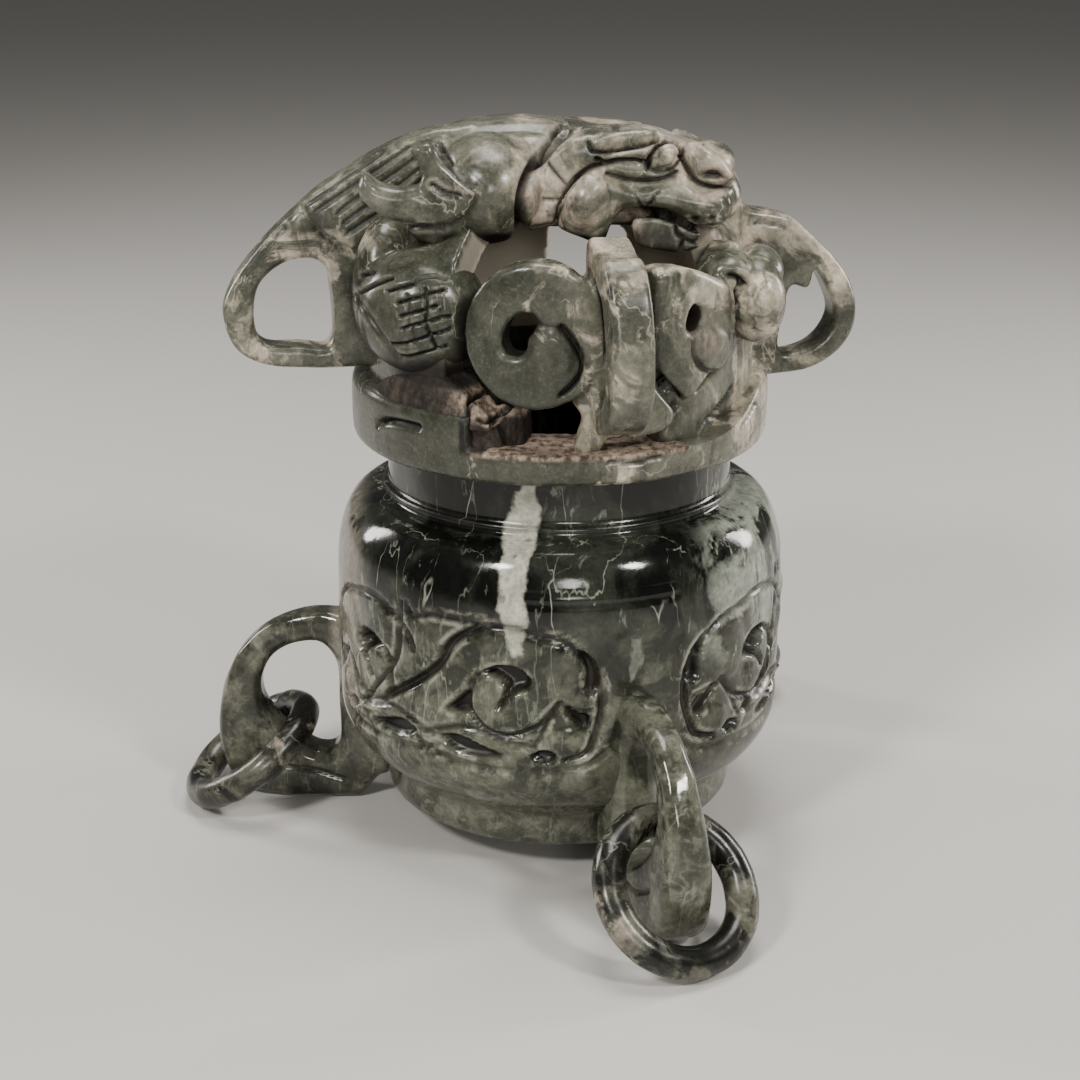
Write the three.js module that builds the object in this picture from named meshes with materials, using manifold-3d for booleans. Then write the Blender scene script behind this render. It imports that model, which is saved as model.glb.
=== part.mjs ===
// A carved jade tripod censer: a bowl with three leg loops, a pierced dragon lid and three loose rings.
// Sizes are in millimetres. Heights are above the underside of the foot, and +Z is up.
// Azimuths are degrees about the axis, counter-clockwise from +X. The front of the censer faces -Y.

import * as THREE from 'three';
import { mergeVertices } from 'three/addons/utils/BufferGeometryUtils.js';
import Module from 'manifold-3d';

const wasm = await Module();
wasm.setup();

// Bowl
const bowlRadius = 60;
const footRadius = 47.7;
const footHeight = 10;
const bellyLow = 27;
const bellyHigh = 60;
const shoulderHeight = 84.5;
const shoulderRadius = 55.4;
const neckRadius = 45.5;
const neckStep = 1.4;
const mouthHeight = 99.7;
const mouthRadius = 38;
const bowlWall = 10;
const floorThickness = 13;
const roundSides = 40;

// Carved panels of the bowl, one between each two leg loops; the front one sits a little off the middle
const panelMargin = 9;
const panelDrawnHalf = 49.1;
const panelShifts = [2.5, 0, 0];
const panelGroove = 2.2;

// Leg loops, in their own upright plane: reach is measured from the axis
const legThickness = 11.4;
const legBevel = 2.4;
const legDrop = 8;
const legReach = 94.5;
const legTop = 47;
const legBar = 11.6;

// Each leg loop and how its ring lies: slid down the bar by a share of its free length, moved aside,
// and turned from the loop's plane
const legs = {
  left: { azimuth: 178, ringSlide: 0.564, ringShift: 2.6, ringYaw: 8 },
  front: { azimuth: 289, ringSlide: 0, ringShift: -5, ringYaw: 15 },
  rear: { azimuth: 56, ringSlide: 0.03, ringShift: 0, ringYaw: 0 },
};

// Loose rings, each linked through a leg loop and leaning on it
const ringRadius = 18;
const ringBar = 4.4;
const ringGap = 0.7;
const ringSides = 10;
const ringSteps = 28;

// Lid, drawn with its underside at the height lidFoot and then set on the mouth; its outlines are drawn
// for an underside at 100 and a crown at 181.5, and follow lidFoot and crownRise
const lidFoot = 100;
const crownRise = 81.5;
const seatGap = 0.3;
const rimRadius = 54.3;
const rimFoot = 52.6;
const rimFrontHeight = 7.8;
const rimTallHeight = 17.6;
const ledgeRadius = 37;
const spigotGap = 0.5;
const spigotWall = 4;
const spigotDepth = 5;
const domeRadius = 50.5;
const domeWall = 9;
const hollowHeight = 156;
const windowTop = 156.2;
const windowDepth = 30;
const windowFrom = 236;
const windowTo = 334;
const rearWindowFrom = 62;
const rearWindowTo = 94;
const rearWindowLow = 120;
const rearWindowHigh = 147;
const lidTurn = 11;
const finThickness = 10.5;
const finBevel = 1.4;
const hornThickness = 9;
const hornAside = 34;
const crestUnder = 155.6;
const crestDrawnRise = 25.9;
const crestLayers = [[24, 1], [38, 0.9]];
const neckThickness = 50;
const crestBevel = 2;
const headThickness = 22;
const headAside = 15.5;
const backHeadShare = 0.8;
const loopThickness = 10;
const frontLoopAzimuth = 283.5;
const rearLoopAzimuth = 101;
const discRadius = 17.9;
const scrollThickness = 9.2;
const drawnWall = 52;

const ledgeHeight = lidFoot + rimFrontHeight;
const rimTop = lidFoot + rimTallHeight;
const lidUnit = lidFoot / 100;
const crownHeight = lidFoot + crownRise * lidUnit;
const crestStretch = (crownHeight / lidUnit - crestUnder) / crestDrawnRise;
const restHeight = -legDrop;

const radians = THREE.MathUtils.degToRad;

// A closed geometry as a solid that can be joined and cut
function solid(geometry) {
  const bare = geometry.index ? geometry.toNonIndexed() : geometry.clone();
  bare.deleteAttribute('normal');
  bare.deleteAttribute('uv');
  const merged = mergeVertices(bare, 1e-4);
  const mesh = new wasm.Mesh({
    numProp: 3,
    vertProperties: new Float32Array(merged.attributes.position.array),
    triVerts: new Uint32Array(merged.index.array),
  });
  return new wasm.Manifold(mesh);
}

// A solid as a named mesh with its own material, lifted where it was drawn lower
function piece(name, body, color, roughness, lift = 0) {
  const { vertProperties, triVerts, numProp } = body.getMesh();
  const count = vertProperties.length / numProp;
  const position = new Float32Array(count * 3);
  for (let i = 0; i < count; i += 1) {
    position.set(vertProperties.subarray(i * numProp, i * numProp + 3), i * 3);
  }
  const geometry = new THREE.BufferGeometry();
  geometry.setAttribute('position', new THREE.BufferAttribute(position, 3));
  geometry.setIndex(new THREE.BufferAttribute(new Uint32Array(triVerts), 1));
  geometry.translate(0, 0, lift);
  geometry.computeVertexNormals();
  const material = new THREE.MeshStandardMaterial({ color, roughness, metalness: 0 });
  const mesh = new THREE.Mesh(geometry, material);
  mesh.name = name;
  return mesh;
}

function unite(solids) {
  return solids.reduce((whole, next) => whole.add(next));
}

function carve(whole, cuts) {
  return cuts.reduce((left, cut) => left.subtract(cut), whole);
}

// A solid turned about the axis from a path drawn as radius and height
function turned(path, divisions = 4, sides = roundSides) {
  const geometry = new THREE.LatheGeometry(path.getPoints(divisions), sides);
  geometry.rotateX(Math.PI / 2);
  return solid(geometry);
}

// A flat outline, drawn as reach and height, made into an upright slab through the axis or beside it
function slab(shape, thickness, bevel, azimuth, aside = 0) {
  const geometry = new THREE.ExtrudeGeometry(shape, {
    depth: thickness - 2 * bevel,
    bevelEnabled: bevel > 0,
    bevelThickness: bevel,
    bevelSize: bevel,
    bevelOffset: -bevel,
    bevelSegments: 1,
    curveSegments: 4,
  });
  geometry.translate(0, 0, bevel - thickness / 2 + aside);
  geometry.rotateX(Math.PI / 2);
  geometry.rotateZ(radians(azimuth));
  return solid(geometry);
}

// A closed outline with extra points, so that no edge runs further along the wall than one step
function dense(points, step = 6) {
  return points.flatMap((from, i) => {
    const to = points[(i + 1) % points.length];
    const parts = Math.max(1, Math.ceil(Math.abs(to.x - from.x) / step));
    return Array.from({ length: parts }, (_, k) => from.clone().lerp(to, k / parts));
  });
}

// A flat outline, drawn along a wall of the given radius and up it, bent round the axis between two radii
function bent(shape, inner, outer, azimuth, wallRadius = outer, curveSegments = 8) {
  const drawn = shape.extractPoints(curveSegments);
  const stepped = new THREE.Shape(dense(drawn.shape));
  stepped.holes = drawn.holes.map((hole) => new THREE.Path(dense(hole)));
  const geometry = new THREE.ExtrudeGeometry(stepped, { depth: outer - inner, bevelEnabled: false });
  const position = geometry.attributes.position;
  for (let i = 0; i < position.count; i += 1) {
    const angle = radians(azimuth) + position.getX(i) / wallRadius;
    const radius = inner + position.getZ(i);
    const height = position.getY(i);
    position.setXYZ(i, radius * Math.cos(angle), radius * Math.sin(angle), height);
  }
  return solid(geometry);
}

// An egg-shaped lump of the lid, turned about the upright axis
function lump(center, radii, turn = 0, steps = 14) {
  const geometry = new THREE.SphereGeometry(lidUnit, steps, Math.round(steps * 0.6));
  geometry.scale(...radii);
  geometry.rotateZ(radians(turn));
  geometry.translate(...center.map((length) => length * lidUnit));
  return solid(geometry);
}

function flatPoints(points, unit = 1) {
  return points.map(([x, y]) => new THREE.Vector2(x * unit, y * unit));
}

// A closed outline of the lid with rounded turns at its drawn points
function rounded(points, steps = 3) {
  const drawn = flatPoints(points, lidUnit);
  const line = new THREE.SplineCurve([...drawn, drawn[0]]).getPoints(drawn.length * steps);
  return new THREE.Shape(line.slice(0, -1));
}

function withHole(outline, hole) {
  outline.holes.push(hole);
  return outline;
}

// Bowl, foot, shoulder and neck turned as one, then hollowed
function bowlBody() {
  const outside = new THREE.Path();
  outside.moveTo(0, 0);
  outside.lineTo(footRadius - 1, 0);
  outside.lineTo(footRadius, 1);
  outside.lineTo(footRadius, footHeight);
  outside.bezierCurveTo(footRadius + 7, footHeight + 5, bowlRadius, bellyLow - 7, bowlRadius, bellyLow);
  outside.lineTo(bowlRadius, bellyHigh);
  outside.quadraticCurveTo(bowlRadius - 0.6, shoulderHeight - 13, shoulderRadius, shoulderHeight - 5.5);
  outside.quadraticCurveTo(shoulderRadius - 2.5, shoulderHeight, neckRadius + neckStep, shoulderHeight);
  outside.lineTo(neckRadius + neckStep, shoulderHeight + 2);
  outside.lineTo(neckRadius, shoulderHeight + 2.8);
  outside.lineTo(neckRadius, mouthHeight - 0.8);
  outside.lineTo(neckRadius - 0.8, mouthHeight);
  outside.lineTo(0, mouthHeight);
  const inside = new THREE.Path();
  const innerRadius = bowlRadius - bowlWall;
  inside.moveTo(0, floorThickness);
  inside.lineTo(footRadius - bowlWall, floorThickness);
  inside.quadraticCurveTo(innerRadius, floorThickness + 4, innerRadius, floorThickness + 18);
  inside.lineTo(innerRadius, bellyHigh);
  inside.quadraticCurveTo(innerRadius - 1, shoulderHeight - 8, mouthRadius, shoulderHeight);
  inside.lineTo(mouthRadius, mouthHeight + 1);
  inside.lineTo(0, mouthHeight + 1);
  return turned(outside).subtract(turned(inside));
}

// A flat strip of even width along a drawn line
function strip(line, width) {
  const points = flatPoints(line);
  const left = [];
  const right = [];
  points.forEach((point, i) => {
    const before = points[Math.max(i - 1, 0)];
    const after = points[Math.min(i + 1, points.length - 1)];
    const along = after.clone().sub(before).normalize().multiplyScalar(width / 2);
    left.push(new THREE.Vector2(point.x - along.y, point.y + along.x));
    right.push(new THREE.Vector2(point.x + along.y, point.y - along.x));
  });
  return new THREE.Shape([...left, ...right.reverse()]);
}

// Half of a carved panel, drawn as length from its middle and height: deep pits between the scrolls
const scrollPits = [
  [3.4, [[40.6, 60.2], [43.9, 57.2], [45.3, 52.6], [44.6, 48.6], [42.2, 49], [41.6, 54.5]]],
  [3.6, [[14, 52.2], [19, 55.4], [24.4, 55.4], [28, 52.4], [27.3, 50], [22.9, 48.2], [20.5, 44.4],
    [19.6, 45], [22, 49.4], [20.8, 51.4], [17.4, 53]]],
  [3.2, [[36.4, 45.2], [39.6, 43.9], [43.2, 42.5], [42.5, 38.2], [39.4, 40.6]]],
  [2.6, [[3.6, 34.2], [9.1, 35.2], [15.9, 33.2], [21.2, 31.2], [13.4, 29.9], [6.8, 31.2]]],
  [2.4, [[27.9, 32.1], [31.9, 33.6], [34.9, 31.8], [31.9, 30]]],
];

// The grooves that part the scrolls of each half
const scrollGrooves = [
  [1, [[3.6, 56.1], [8.7, 61.7], [16.3, 65.4], [23.4, 65.9], [28.8, 64.6], [35.7, 62.9], [40.3, 59.5]]],
  [1.4, [[41.6, 58.2], [44.9, 52.6], [45.7, 44.2], [44.3, 38.4], [42.4, 33.3], [37.3, 30.9]]],
  [1.5, [[14.4, 52.4], [12.6, 49.5], [12, 45.9], [12.9, 42], [16.8, 38.1], [22.9, 37.1], [29.6, 39.6],
    [33, 43.5], [35.4, 46.4]]],
];

// The leaf that crosses the panel's middle from upper right to lower left, and the pit beside it
const leafGrooves = [
  [1.9, [[14.2, 64.6], [7.8, 60.2], [3.6, 53.5], [-2.9, 47.7], [-14, 40.3]]],
  [1.5, [[-9, 66.5], [-9.4, 59.5], [-10.4, 52.5], [-14.4, 46.1], [-20.3, 39.7], [-26.4, 34.9]]],
];
const leafPit = [3.2, [[5.2, 41.4], [8.9, 45.6], [12, 47.9], [12.6, 45.9], [12.9, 42.4], [9.2, 41.4]]];

// Everything cut from the wall in one panel
function panelCuts(fromAzimuth, toAzimuth, shift) {
  const middle = (fromAzimuth + toAzimuth) / 2 + shift;
  const halfWidth = (radians(toAzimuth - fromAzimuth) * bowlRadius) / 2 - panelMargin;
  const scale = halfWidth / panelDrawnHalf;
  const place = (line, side) => line.map(([along, height]) => [side * scale * along, height]);
  const cut = (shape, depth) => bent(shape, bowlRadius - depth, bowlRadius + 3, middle, bowlRadius);
  const pit = ([depth, line], side) => cut(new THREE.Shape(flatPoints(place(line, side))), depth);
  const groove = ([depth, line], side) => cut(strip(place(line, side), panelGroove), depth);
  const halves = [1, -1].flatMap((side) => [
    ...scrollPits.map((drawn) => pit(drawn, side)),
    ...scrollGrooves.map((drawn) => groove(drawn, side)),
  ]);
  return [...halves, ...leafGrooves.map((drawn) => groove(drawn, 1)), pit(leafPit, 1)];
}

// The hole's inner side, and its corner that faces down and out, where a ring hangs
const holeIn = bowlRadius + 1;
const leanPoint = { reach: legReach - legBar - 1.5, height: legBar + 6.6 };

// A leg loop with its hole: it springs from the belly, turns down and stands on its foot
function legLoop(azimuth) {
  const outline = new THREE.Shape();
  outline.moveTo(footRadius - 6, 1);
  outline.lineTo(footRadius - 6, footHeight);
  outline.lineTo(bowlRadius - 6, bellyLow);
  outline.lineTo(bowlRadius - 6, legTop);
  outline.lineTo(bowlRadius + 4, legTop);
  outline.bezierCurveTo(bowlRadius + 24, legTop, legReach, legTop - 14, legReach, legTop - 28);
  outline.lineTo(legReach + 0.7, 11);
  outline.bezierCurveTo(legReach + 0.4, 1, legReach - 3, restHeight + 2.5, legReach - 9, restHeight + 1.3);
  outline.quadraticCurveTo(legReach - 14, restHeight, legReach - 19, restHeight);
  outline.lineTo(footRadius + 9, restHeight);
  outline.lineTo(footRadius, 1);
  outline.closePath();
  const hole = new THREE.Path();
  const holeOut = legReach - legBar;
  const holeTop = legTop - 9;
  hole.moveTo(holeIn, 9);
  hole.quadraticCurveTo(holeIn, 6, holeIn + 6, 6);
  hole.quadraticCurveTo(leanPoint.reach - 8, 6, leanPoint.reach, leanPoint.height);
  hole.quadraticCurveTo(holeOut, leanPoint.height + 3, holeOut, leanPoint.height + 9);
  hole.quadraticCurveTo(holeOut - 2, holeTop, holeIn + 8, holeTop);
  hole.quadraticCurveTo(holeIn, holeTop, holeIn, holeTop - 6);
  hole.closePath();
  outline.holes.push(hole);
  return slab(outline, legThickness, legBevel, azimuth);
}

// The middle of the ring's bar where it passes through the loop's hole, and how far the ring leans
function ringHinge(leg) {
  const holeRadius = ringRadius - ringBar;
  const flatHalf = legThickness / 2 - legBevel;
  const sagitta = holeRadius - Math.sqrt(holeRadius ** 2 - flatHalf ** 2);
  const stand = ringBar + ringGap + sagitta;
  const seatAngle = radians(45);
  const barSlope = radians(40);
  const seatReach = leanPoint.reach - stand * Math.cos(seatAngle);
  const slide = leg.ringSlide * (seatReach - holeIn - ringBar - ringGap) / Math.cos(barSlope);
  const reach = seatReach - slide * Math.cos(barSlope);
  const height = leanPoint.height + stand * Math.sin(seatAngle) - slide * Math.sin(barSlope);
  const lean = Math.asin((height - restHeight - ringBar) / (2 * ringRadius));
  return { reach, height, lean };
}

// A loose ring that lies with its low edge on the table and its high edge inside the loop's hole
function looseRing(leg) {
  const hinge = ringHinge(leg);
  const geometry = new THREE.TorusGeometry(ringRadius, ringBar, ringSides, ringSteps);
  geometry.translate(ringRadius, 0, 0);
  geometry.rotateY(hinge.lean);
  geometry.rotateZ(radians(leg.ringYaw));
  geometry.translate(hinge.reach, leg.ringShift, hinge.height);
  geometry.rotateZ(radians(leg.azimuth));
  return solid(geometry);
}

// Rim, seat and locating spigot of the lid, with the low ledge cut into its front
function lidRim() {
  const ring = new THREE.Path();
  const spigotOuter = mouthRadius - spigotGap;
  const spigotInner = spigotOuter - spigotWall;
  ring.moveTo(spigotInner, lidFoot - spigotDepth);
  ring.lineTo(spigotOuter, lidFoot - spigotDepth);
  ring.lineTo(spigotOuter, lidFoot);
  ring.lineTo(rimFoot, lidFoot);
  ring.lineTo(rimRadius, lidFoot + 1.8);
  ring.lineTo(rimRadius + 0.2, rimTop - 3);
  ring.lineTo(rimRadius - 1.6, rimTop);
  ring.lineTo(domeRadius - domeWall, rimTop);
  ring.lineTo(domeRadius - domeWall, ledgeHeight);
  ring.lineTo(spigotInner, ledgeHeight);
  ring.closePath();
  const notch = new THREE.Shape();
  notch.moveTo(-24, ledgeHeight);
  notch.lineTo(30, ledgeHeight);
  notch.quadraticCurveTo(44, ledgeHeight + 1, 50, rimTop + 1);
  notch.lineTo(-26, rimTop + 1);
  notch.closePath();
  return turned(ring, 1).subtract(bent(notch, ledgeRadius, rimRadius * 1.4, 270, rimRadius));
}

// The hollow dome that carries the crest
function domeShape(offset, top) {
  const path = new THREE.Path();
  const radius = domeRadius - offset;
  path.moveTo(0, lidFoot + 2 - offset);
  path.lineTo(radius, lidFoot + 2 - offset);
  path.lineTo(radius, top - 45);
  path.bezierCurveTo(radius, top - 22, radius * 0.75, top, 0, top);
  return turned(path, 7);
}

// The sweeping fin and its two side loops, drawn in one upright plane
function crestFin() {
  const left = rounded([
    [-46, 150], [-30, 150.5], [-20, 152], [-20, 178], [-28, 180], [-35.6, 178.4], [-48.3, 173.4],
    [-58.4, 167.5], [-66.1, 161.6], [-75.9, 152.7], [-83, 144], [-86.7, 135], [-84, 126],
    [-76.7, 121.3], [-67, 120.3], [-52, 120], [-46, 121],
  ], 2);
  const leftHole = rounded([
    [-59.8, 126.5], [-68, 126.3], [-76.5, 127.2], [-79, 133], [-77.2, 142], [-70, 147.6],
    [-62, 147.4], [-59.6, 141],
  ], 2);
  const right = rounded([
    [40, 158], [47.5, 158.2], [56.1, 156.1], [61.6, 154], [70.2, 146.5], [76, 140.2], [79.3, 133.6],
    [79.7, 125.4], [75.9, 118.7], [67.7, 113.6], [58.4, 112.5], [48, 112], [40, 113], [38, 135],
  ], 2);
  const rightHole = rounded([
    [59.3, 119], [66, 119.4], [71.2, 123], [73.6, 128.6], [71.5, 135], [67.9, 140.6],
    [66.2, 135.6], [61.4, 136.2], [59.4, 128],
  ], 2);
  return [
    slab(withHole(left, leftHole), finThickness, finBevel * lidUnit, lidTurn),
    slab(withHole(right, rightHole), finThickness, finBevel * lidUnit, lidTurn),
  ];
}

// A loop of the lid that stands square to the crest, seen edge-on from the front
function crossLoop(azimuth) {
  const outline = rounded([
    [44, 113], [50, 112.6], [57, 114], [65, 117.4], [70, 124], [71.2, 132], [70.4, 140],
    [67.4, 149], [61.5, 155.6], [56, 156.6], [44, 156.2],
  ], 2);
  const hole = rounded([
    [53, 121.6], [58.5, 121.8], [61.8, 127], [62.2, 135], [60, 144], [56, 148], [53, 147.6],
  ], 2);
  return slab(withHole(outline, hole), loopThickness, finBevel * lidUnit, azimuth);
}

// A scroll drawn along the front wall and up it, and faced by a band of the wall round its middle radius
function scroll(shape, radius, thickness = scrollThickness) {
  const band = new THREE.Path();
  band.moveTo(radius - thickness / 2, lidFoot);
  band.lineTo(radius + thickness / 2, lidFoot);
  band.lineTo(radius + thickness / 2, crownHeight);
  band.lineTo(radius - thickness / 2, crownHeight);
  band.closePath();
  return bent(shape, radius * 0.6, radius * 1.4, 270, drawnWall * lidUnit).intersect(turned(band, 1));
}

function disc(along, height, radius) {
  const shape = new THREE.Shape();
  shape.absarc(along * lidUnit, height * lidUnit, radius, 0, 2 * Math.PI);
  return new THREE.Shape(shape.getPoints(20).slice(0, -1));
}

// The round scroll at the left: a disc with a comma-shaped hole round its boss
function leftScroll() {
  const eye = rounded([
    [-14.4, 134.5], [-14, 137.6], [-12.5, 140.3], [-10.2, 142.2], [-7.2, 142.4], [-5.6, 140.4],
    [-6.3, 138.2], [-8.2, 136.2], [-8.4, 133.2], [-10.2, 131.9], [-13.2, 132.2],
  ], 1);
  const middle = domeRadius - 2.3;
  const whole = scroll(withHole(disc(-6.2, 136.6, discRadius), eye), middle);
  const grooveLine = [[-0.2, 139.4], [2.6, 136.2], [4.6, 132], [4.6, 128.6], [2.8, 125.6], [-0.1, 122.9]];
  const groove = strip(grooveLine.map(([along, height]) => [along * lidUnit, height * lidUnit]), 1.6);
  return whole
    .subtract(scroll(groove, middle + scrollThickness / 2, 4))
    .add(scroll(disc(-2.2, 132.6, discRadius / 3), middle + 1.4, 8));
}

// The leaf-shaped scroll at the right, the low scroll under it and the lobe that carries both discs
function rightScrolls() {
  const leaf = rounded([
    [24, 151], [31.8, 150.7], [41.2, 147.2], [49, 142.7], [53, 137.8], [53.8, 129.4],
    [50.5, 123.8], [42.5, 120.3], [34.7, 116.7], [32, 118.2], [27.7, 123.4], [24, 129],
  ], 2);
  const eye = rounded([
    [35.8, 135.5], [38.1, 137.5], [38.4, 140.2], [36.1, 141.6], [33.5, 139.6], [33.2, 135.6],
  ], 1);
  const low = rounded([
    [16, 124.5], [23, 126], [29.5, 119.9], [34.3, 114.9], [30.9, 109], [22.2, 107.4], [15, 107.4],
  ]);
  const lobe = rounded([
    [2.5, 126.5], [2.6, 120.6], [5.4, 116], [5.9, 107.4], [14.8, 107.4], [15, 122], [12.2, 139], [9, 148],
    [4.5, 146], [5, 136],
  ], 2);
  const middle = domeRadius - 2.4;
  return [
    scroll(withHole(leaf, eye), middle),
    scroll(disc(43.1, 128.8, discRadius / 3), middle + 1.6, 8),
    scroll(low, middle),
    scroll(lobe, middle - 1.2, 8),
  ];
}

// The rough block of stone left standing on the ledge at the left
function ledgeBlock() {
  const block = rounded([
    [-25, 106], [-25, 117], [-18, 119.5], [-11.4, 117.5], [-10.8, 112.5], [-14, 107],
  ], 1);
  return scroll(block, domeRadius - 4.5, 12);
}

// A drawn height of the crest, with its rise above the crest's underside taken at a share
function crestLevel(height, share = 1) {
  return crestUnder + (height - crestUnder) * share * crestStretch;
}

function crestShape(points, share = 1) {
  return rounded(points.map(([along, height]) => [along, crestLevel(height, share)]), 1);
}

// The crest over the dome: the wider layer of the arch stands lower, which rounds it from front to back
function crestBlock() {
  const arch = [
    [-30, 155.6], [-34, 163], [-33.6, 172], [-31, 177.5], [-27, 179.2], [-22, 180.8], [-15, 181.4],
    [-9, 181.5], [0, 180.9], [12.5, 180.5], [18.8, 179.1], [25, 178], [31, 175.5], [35, 173.8],
    [40.4, 171.9], [43.5, 169.1], [45, 165], [44.5, 160.5], [41, 157.4], [32, 155.6], [8, 156],
    [-18, 155.8],
  ];
  const bevel = crestBevel * lidUnit;
  return crestLayers.map(([thickness, share]) => slab(crestShape(arch, share), thickness, bevel, 0));
}

// One side of the head in profile: brow and snout above, the open mouth below, then its raised parts
function headSide(side, share) {
  const profile = [
    [-9, 156.4], [-9.4, 163], [-8, 170], [-5, 175.2], [-1, 178.6], [5, 180], [14, 180.6],
    [22, 180.2], [28, 178.4], [33, 176.4], [38.2, 174.6], [41.6, 171.5], [42.2, 167],
    [41.5, 162], [38.5, 158.2], [33, 157.9], [28, 160.4], [22, 161.6], [16, 161.2],
    [12.7, 158], [10.4, 156.4], [4, 156.6], [-2, 157.2],
  ];
  return [
    slab(crestShape(profile, share), headThickness, crestBevel * lidUnit, 0, -side * headAside),
    lump([5.5, side * 20, crestLevel(164, share)], [7.5, 9.6, 8.4 * share]),
    lump([16, side * 19, crestLevel(175.4, share)], [13, 9, 4.6 * share]),
    lump([24, side * 20, crestLevel(164.6, share)], [16.5, 8.8, 4.6 * share]),
    lump([36.6, side * 18, crestLevel(172.4, share)], [6, 10, 5.4 * share]),
  ];
}

// The dragon's thick neck, both sides of its head, and its two horns standing clear of the fin
function dragonHead() {
  const neck = [
    [-29, 156.2], [-32, 162], [-30, 169.5], [-24, 174], [-14, 175.6], [-2, 175.4], [6, 173],
    [9, 166], [8, 158], [-8, 156.4],
  ];
  const upperHorn = rounded([
    [-35.8, 178.6], [-32.6, 179.9], [-30, 179.6], [-27.8, 176], [-25, 173.5], [-20, 168],
    [-24, 162], [-31, 165], [-33.4, 169.8], [-32.7, 172.9], [-34.2, 175.8],
  ], 1);
  const lowerHorn = rounded([
    [-46.5, 172.5], [-43.2, 170.2], [-38.6, 169.2], [-34.5, 169.6], [-31, 168], [-22, 166],
    [-28, 159.5], [-38.8, 161], [-44.5, 163.8], [-47.6, 166.9], [-48, 169.8],
  ], 1);
  return [
    slab(crestShape(neck), neckThickness, crestBevel * lidUnit, 0),
    ...headSide(-1, 1),
    ...headSide(1, backHeadShare),
    lump([-18, -19, 166.5], [15, 17, 13.5]),
    lump([-29, -22, 160.6], [10, 12, 8]),
    lump([-18, 17, 163], [15, 15, 12]),
    slab(upperHorn, hornThickness, crestBevel * lidUnit, 0, hornAside),
    slab(lowerHorn, hornThickness, crestBevel * lidUnit, 0, hornAside),
  ];
}

// The scaly body at the left, the knot of cloud at the right and the jaws, all clear of the window
function dragonBody() {
  return [
    lump([25, -19, 156.4], [8.6, 9, 4.9]),
    lump([25, 19, 156.4], [8.6, 9, 4.9]),
    lump([44.5, -22, 140], [10.5, 12, 14], 20),
    lump([46, -20, 122], [7, 10, 12], 20),
    lump([-32, -31, 140], [12.5, 14.5, 15], -20),
    lump([-42, -18, 137], [9, 13, 20], -20),
  ];
}

// The front sector that is cut from the wall and from under the crest, between two heights
function sector(low, high) {
  const outer = domeRadius * 1.7;
  const half = (radians(windowTo - windowFrom) * outer) / 2;
  const side = new THREE.Shape(flatPoints([[-half, low], [half, low], [half, high], [-half, high]]));
  return bent(side, domeRadius - windowDepth, outer, (windowFrom + windowTo) / 2);
}

// The opening with rounded corners in the back of the wall
function rearWindow() {
  const half = (radians(rearWindowTo - rearWindowFrom) * domeRadius) / 2;
  const middle = (rearWindowLow + rearWindowHigh) / 2;
  const shape = new THREE.Shape();
  shape.moveTo(-half, middle);
  shape.bezierCurveTo(-half, rearWindowHigh, -half, rearWindowHigh, 0, rearWindowHigh);
  shape.bezierCurveTo(half, rearWindowHigh, half, rearWindowHigh, half, middle);
  shape.bezierCurveTo(half, rearWindowLow, half, rearWindowLow, 0, rearWindowLow);
  shape.bezierCurveTo(-half, rearWindowLow, -half, rearWindowLow, -half, middle);
  const azimuth = (rearWindowFrom + rearWindowTo) / 2;
  return bent(shape, domeRadius * 0.7, domeRadius * 1.2, azimuth, domeRadius, 4);
}

// The pierced lid: the crest is cut by the front window and the hollow, and the scrolls stand in front
function lidBody() {
  const hollow = domeShape(domeWall, hollowHeight);
  const front = sector(ledgeHeight, crownHeight);
  const dome = carve(domeShape(0, crownHeight - 8), [front, rearWindow()]);
  const window = sector(ledgeHeight, windowTop);
  const wall = unite([dome, ...crestBlock(), ...crestFin(), ...dragonHead()]).subtract(window);
  const scrolls = [
    ...dragonBody(), leftScroll(), ...rightScrolls(), ledgeBlock(),
    crossLoop(frontLoopAzimuth), crossLoop(rearLoopAzimuth),
  ];
  return unite([wall, ...scrolls]).subtract(hollow).add(lidRim());
}

// The finished bowl with its panels and legs
function censerBody() {
  const [left, front, rear] = [legs.left.azimuth, legs.front.azimuth, legs.rear.azimuth];
  const spans = [[left, front], [front, rear + 360], [rear, left]];
  const cuts = spans.flatMap(([from, to], i) => panelCuts(from, to, panelShifts[i]));
  return unite([carve(bowlBody(), cuts), legLoop(left), legLoop(front), legLoop(rear)]);
}

const jadeDark = 0x2f3a33;
const jadePale = 0x8f9082;
const jadeGrey = 0x5d665a;

const censer = new THREE.Group();
censer.add(piece('censer_body', censerBody(), jadeDark, 0.22));
censer.add(piece('dragon_lid', lidBody(), jadePale, 0.35, mouthHeight + seatGap - lidFoot));
for (const [side, leg] of Object.entries(legs)) {
  censer.add(piece(`ring_${side}`, looseRing(leg), jadeGrey, 0.3));
}

export default censer;
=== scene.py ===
# The looks of a carved jade tripod censer, in metres, in the same frame as its solids.
# Sizes of stone are written in millimetres and turned into metres when a piece is finished.
# A drawn line or outline is a row of numbers: sideways, height, sideways, height, and so on.
# A groove is its line, then width, depth, width of its sloping shoulder and strength of the painted shade
# in it.
import math
import bmesh
import bpy
import numpy as np
from mathutils import Matrix, Vector


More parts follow.
